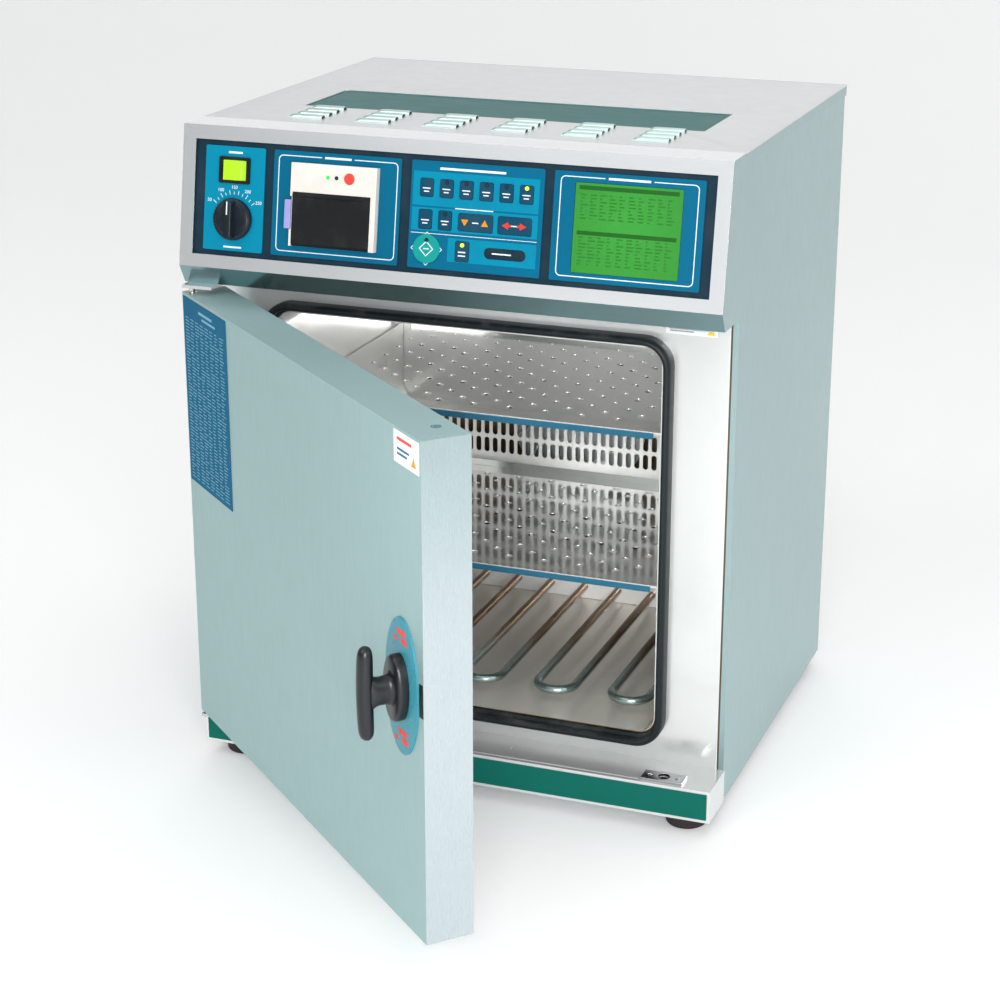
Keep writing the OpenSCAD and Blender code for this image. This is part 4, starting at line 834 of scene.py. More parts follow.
def finish(name):
    """The finish of that name, made when it is first asked for."""
    if name in FINISHES:
        return FINISHES[name]
    c = colours()
    makers = {
        "side": lambda: brushed("side_steel", c.steel, (1, 1, 0.04), 0.34),
        "top": lambda: brushed("top_steel", c.top, (0.04, 1, 1), 0.40, contrast=0.8),
        "louvre": lambda: brushed("louvre_steel", c.louvre, (0.04, 1, 1), 0.4, contrast=0.6),
        "recess": lambda: brushed("recess_steel", c.recess, (0.03, 1, 1), 0.42, 900, 2.2, 0.2, 0.03),
        "fascia": lambda: brushed("fascia_steel", c.fascia, (0.05, 1, 1), 0.15, 500, 0.8, metal=0.7),
        # Painted shade on the fascia's downward faces
        "bevel": lambda: brushed("fascia_underside_painted_shade", c.bevel, (0.05, 1, 1), 0.2, 500, 0.8),
        "door": lambda: brushed("door_steel", c.door, (1, 1, 0.05), 0.5, 620, 1.4, metal=0.6),
        # Free edge painted paler as a painted highlight, and darker towards its top as a painted reflection
        "door_edge": lambda: brushed("door_edge_painted_highlight_and_reflection", c.door_edge, (1, 1, 0.05), 0.26, 620, 0.9,
                                     tint=(c.door, 0.33, 0.47)),
        "zinc": lambda: brushed("zinc_sheet", (0.52, 0.55, 0.56), (1, 1, 0.5), 0.45, 300, 2.0),
        "frame": lambda: mirrored("frame_polished", c.frame_steel, 0.2, 0.12, metal=0.6),
        "chamber": lambda: mirrored("chamber_polished", c.chamber, 0.14, 0.12, c.warm, (0.075, 0.11),
                                    metal=0.6),
        "chamber_floor": lambda: mirrored("chamber_floor_satin", c.chamber_floor, 0.34, 0.15, metal=0.45),
        # Painted shade: the liner's faces behind the air baffle are painted dark brown, so the baffle's slots
        # look dark
        "plenum": lambda: mirrored("plenum_painted_shade", darker(c.warm, 0.3), 0.3, 0.12, metal=0.6),
        "baffle": lambda: mirrored("baffle_polished", c.chamber, 0.16, 0.08, metal=0.3),
        "shelf": lambda: mirrored("shelf_polished", darker(c.chamber, 0.97), 0.08, 0.06, metal=0.9),
        # Painted blue reflection on the shelves' front lips
        "shelf_lip": lambda: mirrored("shelf_lip_painted_reflection", c.lip, 0.16, 0.06),
        "heater": heater_finish,
        "bright": lambda: mirrored("bright_steel", (0.62, 0.63, 0.64), 0.16, 0.05),
        "brass": lambda: brushed("turned_brass", (0.66, 0.46, 0.18), (1, 1, 0.1), 0.3),
        "plinth": lambda: film("plinth_green", c.plinth, 0.24),
        "foot": lambda: moulded("foot_rubber", c.foot, 0.7, 0.4, 0.2),
        "gasket": lambda: moulded("gasket_silicone", c.gasket, 0.42, 0.1, 0.05, Specular_IOR_Level=0.25),
        "bright_film": lambda: film("panel_bright_blue", c.bright_blue),
        "dark_film": lambda: film("panel_dark_blue", c.dark_blue),
        "keypad": keypad_finish,
        "backing": lambda: moulded("panel_backing_dark", c.divider, 0.5, Specular_IOR_Level=0.2),
        "key": lambda: moulded("key_teal", c.key, 0.4, 0.1, 0.2, Specular_IOR_Level=0.2),
        "start": lambda: moulded("start_key", c.start, 0.35, 0.1, 0.2, Specular_IOR_Level=0.25),
        "lcd": display_finish,
        "lcd_mark": lambda: film("display_marks", darker(c.lcd, 0.42), 0.3),
        "lcd_text": lambda: film("display_text", darker(c.lcd, 0.68), 0.3),
        "lamp": lambda: lit("rocker_lit", c.lamp, 0.3),
        "yellow_lamp": lambda: lit("lens_yellow_lit", srgb(230, 255, 60), 0.9),
        "green_lamp": lambda: lit("lens_green_lit", srgb(40, 210, 90), 0.5),
        "dark_lamp": lambda: moulded("lens_dark", srgb(20, 40, 44), 0.2, 0.02, 0.1),
        "knob": lambda: moulded("knob_black", c.knob, 0.36, 0.12, 0.15, Specular_IOR_Level=0.3),
        "handle": lambda: moulded("handle_black", c.handle, 0.3, 0.15, 0.12),
        "black": lambda: moulded("black_plastic", srgb(14, 16, 18), 0.45, 0.2, 0.12,
                                 Specular_IOR_Level=0.25),
        "cream": lambda: moulded("printer_cream", c.cream, 0.46, 0.2, 0.2),
        "notice": lambda: film("notice_blue", c.notice, 0.62),
        "badge": lambda: film("escutcheon_blue", c.badge, 0.26),
        "red": lambda: moulded("button_red", c.red, 0.3, 0.05, 0.2),
        "red_ink": lambda: film("red_ink", c.red, 0.35),
        "orange_ink": lambda: film("orange_ink", c.orange, 0.35),
        "grey_ink": lambda: film("grey_ink", srgb(150, 154, 158), 0.4),
        "yellow_ink": lambda: film("yellow_ink", srgb(246, 214, 60), 0.4),
        "white_ink": lambda: film("white_ink", c.white, 0.4),
        "pale_ink": lambda: film("pale_ink", srgb(112, 176, 196), 0.4),
        "label": lambda: film("label_white", srgb(238, 240, 240), 0.35),
        "tab": lambda: moulded("tab_lilac", srgb(150, 150, 205), 0.35, 0.1, 0.2),
        "wool": lambda: moulded("mineral_wool", srgb(96, 88, 66), 0.95, 0.9, 0.0),
        "board": lambda: moulded("circuit_board", srgb(20, 96, 60), 0.4, 0.3, 0.1),
        "ceramic": lambda: moulded("thermostat_body", srgb(226, 218, 196), 0.35, 0.05, 0.1),
        "paper": lambda: moulded("paper", srgb(236, 234, 226), 0.8, 0.3, 0.0),
    }
    FINISHES[name] = makers[name]()
    return FINISHES[name]


def heater_finish():
    """Bright teal bends in front that turn brown towards the back."""
    f = Finish("heater_tube", srgb(176, 200, 200), 0.2, 1.0)
    f.blend(f.t.span(f.t.axis(1), -0.12, -0.02), srgb(128, 104, 82))
    stain = f.t.add("ShaderNodeTexNoise", Vector=f.t.object_place(), Scale=34.0, Detail=4.0)
    f.blend(f.t.math("MULTIPLY", stain.outputs["Fac"], 0.4), srgb(92, 78, 66))
    return f.shade(stain.outputs["Fac"], 0.12, 0.34).bump(stain.outputs["Fac"], 0.08, 0.0004).done()


def keypad_finish():
    """Dark film with brighter bands behind the keys."""
    c = colours()
    f = Finish("panel_keypad", c.dark_blue, 0.28, 0.0, Specular_IOR_Level=0.16)
    place = face_coordinates(f)
    for x0, x1, v0, v1 in ((-31, 88, 27.4, 57.5), (-31, 88, 59, 79.5), (4.7, 88, 84.3, 105.4)):
        mask = f.group("Box mask", Vector=place, Middle=((x0 + x1) / 2, -(v0 + v1) / 2, 0),
                       Half_size=((x1 - x0) / 2, (v1 - v0) / 2, 1), Blur=0.15)
        f.blend(mask["Mask"], c.bright_blue)
    grain = f.group("Fine grain", Scale=2200.0, Contrast=1.0)["Value"]
    marks = f.group("Smudges", Scale=18.0, Amount=0.25, Dust=0.1)
    f.blend(marks["Mask"], darker(c.dark_blue, 0.8))
    return f.shade(marks["Mask"], 0.28, 0.42).bump(grain, 0.05, 0.00003).done()


def display_finish():
    """Backlit display: brighter in the middle, with a faint dot grid."""
    c = colours()
    f = Finish("display_lit", c.lcd, 0.16, 0.0, Specular_IOR_Level=0.25, Emission_Strength=0.12)
    place = face_coordinates(f)
    dots = f.t.add("ShaderNodeTexChecker", Vector=place, Scale=1.6)
    middle = f.t.add("ShaderNodeVectorMath", {"operation": "DISTANCE"})
    f.t.tree.links.new(place, middle.inputs[0])
    middle.inputs[1].default_value = (169, -62, 0)
    edge = f.t.span(middle.outputs["Value"], 10.0, 66.0)
    f.blend(f.t.math("MULTIPLY", edge, 0.5), darker(c.lcd, 0.62))
    f.blend(f.t.math("MULTIPLY", dots.outputs["Fac"], 0.06), darker(c.lcd, 0.5))
    f.t.tree.links.new(f.colour, f.shader.inputs["Emission Color"])
    marks = f.group("Smudges", Scale=22.0, Amount=0.5, Dust=0.0)
    return f.shade(marks["Mask"], 0.08, 0.24).bump(dots.outputs["Fac"], 0.02, 0.00002).done()


# Operators

class STERILIZER_OT_finishes(bpy.types.Operator):
    """Make the shared effects that the finishes use"""
    bl_idname = "sterilizer.finishes"
    bl_label = "Shared effects"

    def execute(self, context):
        GROUPS.clear()
        FINISHES.clear()
        for make in (grain_group, smudge_group, wear_group, box_mask_group):
            tree = make()
            GROUPS[tree.name] = tree
        for key, make in (("rows", rows_tree), ("pierced", pierced_tree), ("ruled", ruled_tree),
                          ("screws", screws_tree)):
            GROUPS[key] = make()
        return {"FINISHED"}


class STERILIZER_OT_inner_parts(bpy.types.Operator):
    """Give the inner parts that keep their plain solids their finishes"""
    bl_idname = "sterilizer.inner_parts"
    bl_label = "Inner parts"

    def execute(self, context):
        plain = {
            "zinc": ("base_tray", "control_deck", "fan_impeller"),
            "wool": ("insulation", "door_insulation"),
            "board": ("electronics",),
            "ceramic": ("safety_thermostat",),
            "black": ("fan_motor", "power_inlet"),
            "bright": ("temperature_probe", "latch_cam", "latch_rod_upper", "latch_rod_lower"),
            "brass": ("hinge_bushes",),
            "side": ("exhaust_spigot",),
        }
        for name, nodes in plain.items():
            for node in nodes:
                data = NODES[node].data
                data.materials.clear()
                data.materials.append(finish(name))
        return {"FINISHED"}


class STERILIZER_OT_cabinet(bpy.types.Operator):
    """Build the plinth, side panels, front frame, rear panel and feet"""
    bl_idname = "sterilizer.cabinet"
    bl_label = "Cabinet"

    def execute(self, context):
        s = sizes()
        rounded_copy("plinth", s.sheet_round, "frame")
        rounded_copy("plinth_plate", s.plate_round, "plinth")
        rounded_copy("side_panels", s.sheet_round, "side")
        rounded_copy("front_frame", s.sheet_round, "frame")
        plate = Form()
        plate.matrix = shift(216, 0, 455) @ UPRIGHT
        plate.crowned(rounded(48, 9, 1.0), 0, 0.3, 0.1)
        plate.finish = 1
        plate.ribbon([(-20, 1.6), (8, 1.6)], 1.1, 0.28, 0.36)
        plate.ribbon([(-20, -1.4), (2, -1.4)], 1.1, 0.28, 0.36)
        plate.finish = 2
        plate.prism([(14, -3.2), (22, -3.2), (18, 3.4)], 0.28, 0.36)
        place_piece("frame_label", plate.mesh("frame_label"), BODY, "cabinet",
                    "label grey_ink yellow_ink")
        rounded_copy("rear_panel", s.plate_round, "zinc")
        rounded_copy("feet", 0.0008, "foot")
        rounded_copy("hinge_brackets_keepers", s.plate_round, "bright")
        return {"FINISHED"}


class STERILIZER_OT_top(bpy.types.Operator):
    """Build the top cover with its lips, recess and louvres"""
    bl_idname = "sterilizer.top"
    bl_label = "Top cover"

    def execute(self, context):
        s = sizes()
        low, high = extent("top_cover")
        top = high.z - mm(s.louvre_h)
        lip = 10.0
        louvre_grid = {"Columns": s.louvre_groups, "Rows": s.louvre_count,
                       "Pitch_X": mm(s.louvre_x), "Pitch_Y": mm(s.louvre_y)}
        cover = Form()
        cover.block(low.x, high.x, 0, COVER_DEPTH, top - SHEET, top)
        plate = cover.mesh("cover_sheet")
        hole = Form()
        hole.block(*RECESS, top - 4, top + 4)
        slit = Form()
        slit.block(SHEET - mm(s.louvre_l) / 2, mm(s.louvre_l) / 2 - SHEET, -3.8, 3.0, top - 4, top + 4)
        plate = grown(GROUPS["pierced"], hole.mesh("recess_cut"), plate, Columns=1, Rows=1,
                      Finish=finish("top"))
        middle_y = 27 + (s.louvre_count - 1) * mm(s.louvre_y) / 2
        plate = grown(GROUPS["pierced"], slit.mesh("slit_cut"), plate, Middle=(0, middle_y, 0),
                      Finish=finish("top"), **louvre_grid)
        place_piece("top_sheet", plate, BODY, "cabinet", "top",
                    ("top_cover",), s.plate_round)
        lips = Form()
        for x0, x1 in ((low.x, low.x + SHEET), (high.x - SHEET, high.x)):
            lips.block(x0, x1, 0, COVER_DEPTH, top - SHEET - lip, top - SHEET)
        lips.block(low.x, high.x, COVER_DEPTH, COVER_DEPTH + SHEET, top - SHEET - lip, top)
        place_piece("top_lips", lips.mesh("top_lips"), BODY, "cabinet", "side",
                    (), s.sheet_round)
        hood = Form()
        n, half, rise, wide = 10, mm(s.louvre_l) / 2, mm(s.louvre_h), mm(s.louvre_w) / 2
        rings = []
        for x, size in ((-half, 0.12), (-half + 0.8, 0.5), (-half + 2.2, 0.8), (-half + 4.5, 0.96),
                        (-half + 8, 1.0), (half - 1.5, 1.0), (half, 0.98)):
            outer = [(x, -wide * math.cos(math.pi * i / n),
                      rise * size * math.sin(math.pi * i / n) ** 0.7) for i in range(n + 1)]
            inner = [(x, y * 0.86, max(0.0, z * 0.78 - 0.02)) for _, y, z in reversed(outer)]
            rings.append(outer + inner)
        hood.loft(rings)
        louvres = grown(GROUPS["rows"], hood.mesh("louvre"), Middle=(0, middle_y, top),
                        Finish=finish("louvre"), **louvre_grid)
        place_piece("top_louvres", louvres, BODY, "cabinet", "louvre")
        # Painted shade: a black block under each louvre hood stands for the shade in the louvre's opening
        gap = Form()
        gap.block(-half + 3, half - 0.8, -wide * 0.8, wide * 0.8, 0.02, rise * 0.4)
        gaps = grown(GROUPS["rows"], gap.mesh("gap"), Middle=(0, middle_y, top),
                     Finish=finish("black"), **louvre_grid)
        place_piece("top_louvre_gaps", gaps, BODY, "cabinet", "black")
        rounded_copy("top_recess_plate", s.plate_round, "recess")
        return {"FINISHED"}


class STERILIZER_OT_chamber(bpy.types.Operator):
    """Build the chamber liner, baffle, shelves, heaters and gasket"""
    bl_idname = "sterilizer.chamber"
    bl_label = "Chamber"

    def execute(self, context):
        s = sizes()
        inverse = BODY.inverted()
        behind = extent("air_baffle")[1].y
        # Faces behind the baffle take the plenum's painted shade; upward faces low down take the floor finish
        rounded_copy("chamber_liner", 0.0003, "chamber chamber_floor plenum",
                     lambda m, n: 2 if (inverse @ m).y > behind else 1 if n.z > 0.9 and m.z < 0.09 else 0)
        low, high = extent("shelves")
        hole = Form()
        hole.turned([(mm(s.shelf_hole) / 2, -8), (mm(s.shelf_hole) / 2, 8)], 16)
        hole = hole.mesh("shelf_hole")
        lip = 7.0
        for name, top, stands_for in (("shelf_lower", SHELF_TOPS[0], ()),
                                      ("shelf_upper", SHELF_TOPS[1], ("shelves",))):
            plate = Form()
            plate.block(low.x, high.x, low.y, high.y, -SHEET, 0)
            rows = int((high.y - low.y - 24) / mm(s.shelf_y))
            columns = int((high.x - low.x - 30) / mm(s.shelf_x))
            pierced = grown(GROUPS["pierced"], hole.copy(), plate.mesh(name), Columns=columns, Rows=rows,
                            Pitch_X=mm(s.shelf_x), Pitch_Y=mm(s.shelf_y), Stagger=mm(s.shelf_x) / 2,
                            Middle=(-mm(s.shelf_x) / 4, (low.y + high.y) / 2, 0), Finish=finish("shelf"))
            shelf = Form()
            shelf.add_mesh(pierced)
            reach = high.x - 11
            # The front lip takes the blue painted reflection
            shelf.finish = 1
            shelf.block(-reach, reach, low.y, low.y + SHEET, -lip, -SHEET)
            shelf.finish = 0
            shelf.block(-reach, reach, high.y - SHEET, high.y, 0, lip)
            place_piece(name, shelf.mesh(name), BODY @ shift(0, 0, top), "cabinet",
                        "shelf shelf_lip", stands_for, s.plate_round)
        low, high = extent("air_baffle")
        panel = Form()
        panel.matrix = shift(0, high.y, (low.z + high.z) / 2) @ UPRIGHT
        panel.prism(rounded(high.x - low.x, high.z - low.z, 15.5), 0, high.y - low.y)
        slot = Form()
        slot.matrix = UPRIGHT
        slot.prism(rounded(mm(s.slot_w), mm(s.slot_h), mm(s.slot_w) / 2 - 0.01, steps=4), -5, 5)
        slots = slot.mesh("slot")
        slots.transform(UPRIGHT.inverted())
        cut = panel.mesh("baffle")
        cut.transform(UPRIGHT.inverted())
        columns = int((high.x - low.x - 24) / mm(s.slot_x))
        for middle_z, rows in BAFFLE_ROWS:
            cut = grown(GROUPS["pierced"], slots.copy(), cut, Columns=columns, Rows=rows,
                        Pitch_X=mm(s.slot_x), Pitch_Y=mm(s.slot_z), Middle=(0, middle_z, -high.y),
                        Finish=finish("baffle"))
        cut.transform(UPRIGHT)
        place_piece("air_baffle_panel", cut, BODY, "cabinet", "baffle",
                    ("air_baffle",), s.plate_round)
        rounded_copy("heaters", 0.0, "heater")
        gasket = Form()
        gasket.matrix = shift(0, 0, CHAMBER_Z)
        profile = [(0.3, 0.0), (9.5, 0.0), (9.5, 11.0), (9.0, 13.4), (7.6, 15.2), (5.6, 15.9),
                   (3.9, 15.5), (2.8, 14.0), (2.4, 12.0), (2.6, 9.0), (2.9, 6.6), (1.4, 5.4), (0.3, 5.0)]
        gasket.sweep_frame(profile, GASKET_W, GASKET_H, GASKET_R)
        place_piece("gasket_moulding", gasket.mesh("gasket"), BODY, "cabinet", "gasket",
                    ("door_gasket",), angle=50)
        return {"FINISHED"}


class STERILIZER_OT_screws(bpy.types.Operator):
    """Put the screws into the rear panel, feet, keepers and hinges"""
    bl_idname = "sterilizer.screws"
    bl_label = "Screws"

    def execute(self, context):
        points = []
        for x in (-251.6, 251.6):
            points += [((x, 390, z), (0, 1, 0)) for z in (40, 223.33, 406.67, 590)]
        for x in (-230, 230):
            points += [((x, y, -4), (0, 0, -1)) for y in (-20.5, 360)]
        for dx in (-14, 14):
            points += [((211.5 + dx, -37, 32.6), (0, 0, 1)), ((228.5 + dx, -37, 469.4), (0, 0, -1))]
        for y in (-38, -16):
            points += [((-234, y, 33.2), (0, 0, 1)), ((-234, y, 468.8), (0, 0, -1))]
        cloud = bpy.data.meshes.new("screw_places")
        cloud.from_pydata([p for p, _ in points], [], [])
        heading = cloud.attributes.new("heading", "FLOAT_VECTOR", "POINT")
        for value, (_, direction) in zip(heading.data, points):
            value.vector = direction
        screw = Form()
        screw.turned([(0.01, -4.6), (1.9, -4.6), (1.9, 0), (3.8, 0), (3.8, 0.7), (3.3, 1.5),
                      (2.4, 2.0), (1.2, 2.2), (0.9, 1.1), (0.01, 1.1)], 20)
        mesh = grown(GROUPS["screws"], screw.mesh("screw"), cloud, Finish=finish("bright"))
        place_piece("screw_set", mesh, BODY, "cabinet", "bright", ("screws",))
        return {"FINISHED"}


class STERILIZER_OT_fascia(bpy.types.Operator):
    """Build the fascia housing, the panel's backing, films and display"""
    bl_idname = "sterilizer.fascia"
    bl_label = "Fascia"

    def execute(self, context):
        s = sizes()
        # Downward faces take the bevel colour as painted shade; faces to the sides take the side steel
        rounded_copy("fascia_housing", 0.0008, "fascia bevel side",
                     lambda m, n: 1 if n.z < -0.3 else 2 if abs(n.x) > 0.8 else 0)
        rounded_copy("panel_backing", s.plate_round, "backing")

        def section(middle, normal):
            x = middle.x / MM
            return 0 if x < -172 else 2 if -40 < x < 96 else 1

        rounded_copy("section_plates", s.plate_round,
                     "bright_film dark_film keypad", section)
        rounded_copy("lcd_module", s.plate_round, "lcd black",
                     lambda m, n: 0 if on_face(m).z > -2.0 else 1)

        def lens(middle, normal):
            p = on_face(middle)
            if abs(p.x + 111) < 3 and -p.y < 50:
                return 2
            lit_keys = ((76.2, 35.9), (18.7, 89.9))
            return 0 if any(abs(p.x - x) < 3 and abs(-p.y - v) < 3 for x, v in lit_keys) else 1

        rounded_copy("indicator_lenses", 0.0, "yellow_lamp dark_lamp green_lamp", lens)
        return {"FINISHED"}


class STERILIZER_OT_controls(bpy.types.Operator):
    """Build the switch, knob, printer and keys"""
    bl_idname = "sterilizer.controls"
    bl_label = "Controls"

    def execute(self, context):
        def printer(middle, normal):
            p = on_face(middle)
            return 1 if p.z < -6 and abs(p.x + 105.5) < 30 else 0

        for node, edge, names, choose in (
                ("switch_body", 0.0005, "black", None), ("power_rocker", 0.0004, "lamp", None),
                ("printer_body", 0.0009, "cream paper", printer),
                ("printer_door", 0.0008, "black", None), ("feed_button", 0.0006, "red", None),
                ("release_tab", 0.0006, "tab", None)):
            rounded_copy(node, edge, names, choose)
        for node in NODES:
            if node.startswith("key_"):
                name = "start" if node == "key_start" else "key"
                rounded_copy(node, 0.0003, name)
        knob = Form()
        r, h = 19.0, 14.0
        knob.turned([(0.01, 0), (r, 0), (r, 2.6), (r - 0.6, 3.6), (r - 2.2, 4.0), (r - 3.4, 4.4),
                     (r - 4.4, 5.6), (r - 5.0, 6.2), (0.01, 6.6)], 72)
        knob.crowned(rounded(8.4, 2 * r - 2.4, 3.2, steps=5), 4.5, h, 1.6)
        for k in range(36):
            a = 2 * math.pi * k / 36
            knob.matrix = Matrix.Rotation(a, 4, "Z") @ shift(r - 0.1, 0)
            knob.crowned(oval(0.5, 0.75, 10), 0.6, 3.0, 0.3)
        knob.matrix = Matrix.Identity(4)
        knob.finish = 1
        knob.ribbon([(0, 4.5), (0, r - 2.6)], 1.1, h - 0.02, h + 0.06)
        place_piece("thermostat_knob_piece", knob.mesh("knob"), FACE @ shift(KNOB_X, -KNOB_V, -1.3),
                    "thermostat_knob", "knob white_ink", ("thermostat_knob",), angle=35)
        return {"FINISHED"}


class STERILIZER_OT_panel_print(bpy.types.Operator):
    """Print the panel's outlines, dial and plain marks"""
    bl_idname = "sterilizer.panel_print"
    bl_label = "Panel print"

    def execute(self, context):
        s = sizes()
        line = mm(s.line_w)
        top = PANEL_Z
        ink = Form()
        up = (top - 0.02, top + 0.1)

        def broken_frame(x0, x1, v0, v1, gap):
            """A rounded outline with a gap for a heading in its upper side."""
            # The outline starts at its right upper corner and ends there
            middle = (x0 + x1) / 2
            points = rounded(x1 - x0, v1 - v0, 4.0, middle, -(v0 + v1) / 2)
            path = [(middle - gap, -v0)] + points[7:] + points[:7] + [(middle + gap, -v0)]
            ink.ribbon(path, line, *up)
            ink.ribbon([(middle - gap + 3, -v0), (middle + gap - 3, -v0)], 1.9, *up)

        broken_frame(-163, -46.5, 22.5, 108.5, 16)
        broken_frame(107, 231, 22.5, 108.5, 22)
        # Dial of the knob
        ink.matrix = shift(KNOB_X, -KNOB_V)
        for k in range(11):
            a = math.radians(90 + 52 - k * 10.4)
            r0, r1 = 22.5, 25.2 if k % 2 else 26.4
            ink.ribbon([(r0 * math.cos(a), r0 * math.sin(a)), (r1 * math.cos(a), r1 * math.sin(a))], 0.5, *up)
        for number, angle in (("50", 146), ("100", 117), ("150", 90), ("200", 63), ("250", 34)):
            a = math.radians(angle)
            ink.matrix = shift(KNOB_X + 30 * math.cos(a), -KNOB_V + 29 * math.sin(a), top + 0.05)
            ink.add_mesh(lettering(number, 4.2))
        ink.matrix = Matrix.Identity(4)
        # Generic headings over the switch and under the knob
        ink.ribbon([(-214, -23.5), (-200, -23.5)], 1.8, *up)
        ink.ribbon([(-216, -109.5), (-198, -109.5)], 1.6, *up)
        # Heading bars over the keypad and between its rows
        for x0, x1, v, w in ((-6, 56, 24.2, 2.0), (10, 46, 58.2, 0.9), (-31, 88, 81.8, 0.5)):
            ink.ribbon([(x0, -v), (x1, -v)], w, *up)
        face_piece("panel_lines", ink, "cabinet", "white_ink")
        # Frame round the round start key
        ring = Form()
        ring.ribbon([(-15.4, -80.8), (-0.7, -95.5), (-15.4, -110.2), (-30.1, -95.5)], 0.6, *up, closed=True)
        face_piece("start_frame", ring, "cabinet", "white_ink")
        # Marks on the keys
        key_top = top + 0.7
        over = (key_top - 0.02, key_top + 0.08)
        keys = [("key_%s%d" % (row, i + 1), KEY_X + KEY_PITCH * i, v)
                for row, count, v in (("a", 6, KEY_ROWS[0]), ("b", 2, KEY_ROWS[1]))
                for i in range(count)]
        for node, x, v in keys:
            mark = Form()
            for dv, w in ((0.6, 7.4), (3.4, 5.0)):
                mark.ribbon([(x - w / 2, -v - dv), (x + w / 2, -v - dv)], 1.0, *over)
            face_piece(node + "_mark", mark, node, "white_ink")
        for node, x, v, ink_name in (("key_down_up", 29.9, 69.6, "orange_ink"),
                                     ("key_left_right", 66.7, 69.6, "red_ink")):
            mark = Form()
            if node == "key_down_up":
                for cx, s_y in ((-10, -1), (8.9, 1)):
                    mark.prism([(x + cx - 3.3, -v - 2.4 * s_y), (x + cx + 3.3, -v - 2.4 * s_y),
                                (x + cx, -v + 3.2 * s_y)], *over)
            else:
                for cx, s_x in ((-8.6, -1), (7.9, 1)):
                    mark.prism([(x + cx - 2.8 * s_x, -v - 3.2), (x + cx - 2.8 * s_x, -v + 3.2),
                                (x + cx + 3.2 * s_x, -v)], *over)
                    mark.ribbon([(x + cx - 5.6 * s_x, -v), (x + cx - 2.6 * s_x, -v)], 2.0, *over)
            mark.finish = 1
            mark.ribbon([(x - 3, -v), (x + 3, -v)], 1.0, *over)
            face_piece(node + "_mark", mark, node, ink_name + " white_ink")
        for node, x, v, w in (("key_enter", 18.7, 95.5, 7.0), ("key_start", -15.4, 95.5, 6.0)):
            mark = Form()
            if node == "key_start":
                mark.ribbon([(x, -v + 6.4), (x + 6.4, -v), (x, -v - 6.4), (x - 6.4, -v)], 0.8, *over,
                            closed=True)
                mark.ribbon([(x - 2.6, -v), (x + 2.6, -v)], 1.1, *over)
            else:
                for dv in (0.6, 3.8):
                    mark.ribbon([(x - w / 2, -v - dv), (x + w / 2, -v - dv)], 1.1, *over)
            face_piece(node + "_mark", mark, node, "white_ink")
        lamp_bar = Form()
        lamp_bar.matrix = shift(59, -95)
        lamp_bar.crowned(rounded(39, 10, 4.9, steps=8), top - 0.02, top + 0.35, 0.25)
        lamp_bar.finish = 1
        lamp_bar.ribbon([(-12, 0), (6, 0)], 1.2, top + 0.33, top + 0.42)
        face_piece("alarm_bar", lamp_bar, "cabinet", "backing white_ink")
        # Writing on the display: two dark bars and lines without letters
        shown = Form()
        shown.matrix = shift(DISPLAY_X, -DISPLAY_V)
        for v0, v1 in ((-6.0, -2.4), (33.0, 36.6)):
            shown.block(-45, 45, v0, v1, GLASS_Z - 0.02, GLASS_Z + 0.05)
        face_piece("display_bars", shown, "cabinet", "lcd_mark")
        word = Form()
        word.block(0, 7.2, -0.62, 0.62, 0, 0.06)
        word = word.mesh("word")
        for index, (v, rows) in enumerate(((47.5, 8), (85.5, 9))):
            rows_mesh = grown(GROUPS["ruled"], word.copy(), Columns=10, Rows=rows, Pitch_X=8.7,
                              Pitch_Y=2.9, Middle=(165, -v, GLASS_Z - 0.01), Shortest=0.2,
                              Seed=s.seed + index, Finish=finish("lcd_text"))
            place_piece("display_lines_%d" % (index + 1), rows_mesh, FACE, "cabinet",
                        "lcd_text")
        # Line across the paper door
        across = Form()
        across.block(-30, 30, 24.6, 26.0, -0.05, 0.12)
        pivot = on_face(Vector(JOINTS["printer_door_hinge"]["pos_m"]))
        door_top = 6.5
        place_piece("paper_edge", across.mesh("paper_edge"),
                    FACE @ shift(pivot.x, pivot.y + 15, PANEL_Z + door_top), "printer_door", "paper")
        return {"FINISHED"}


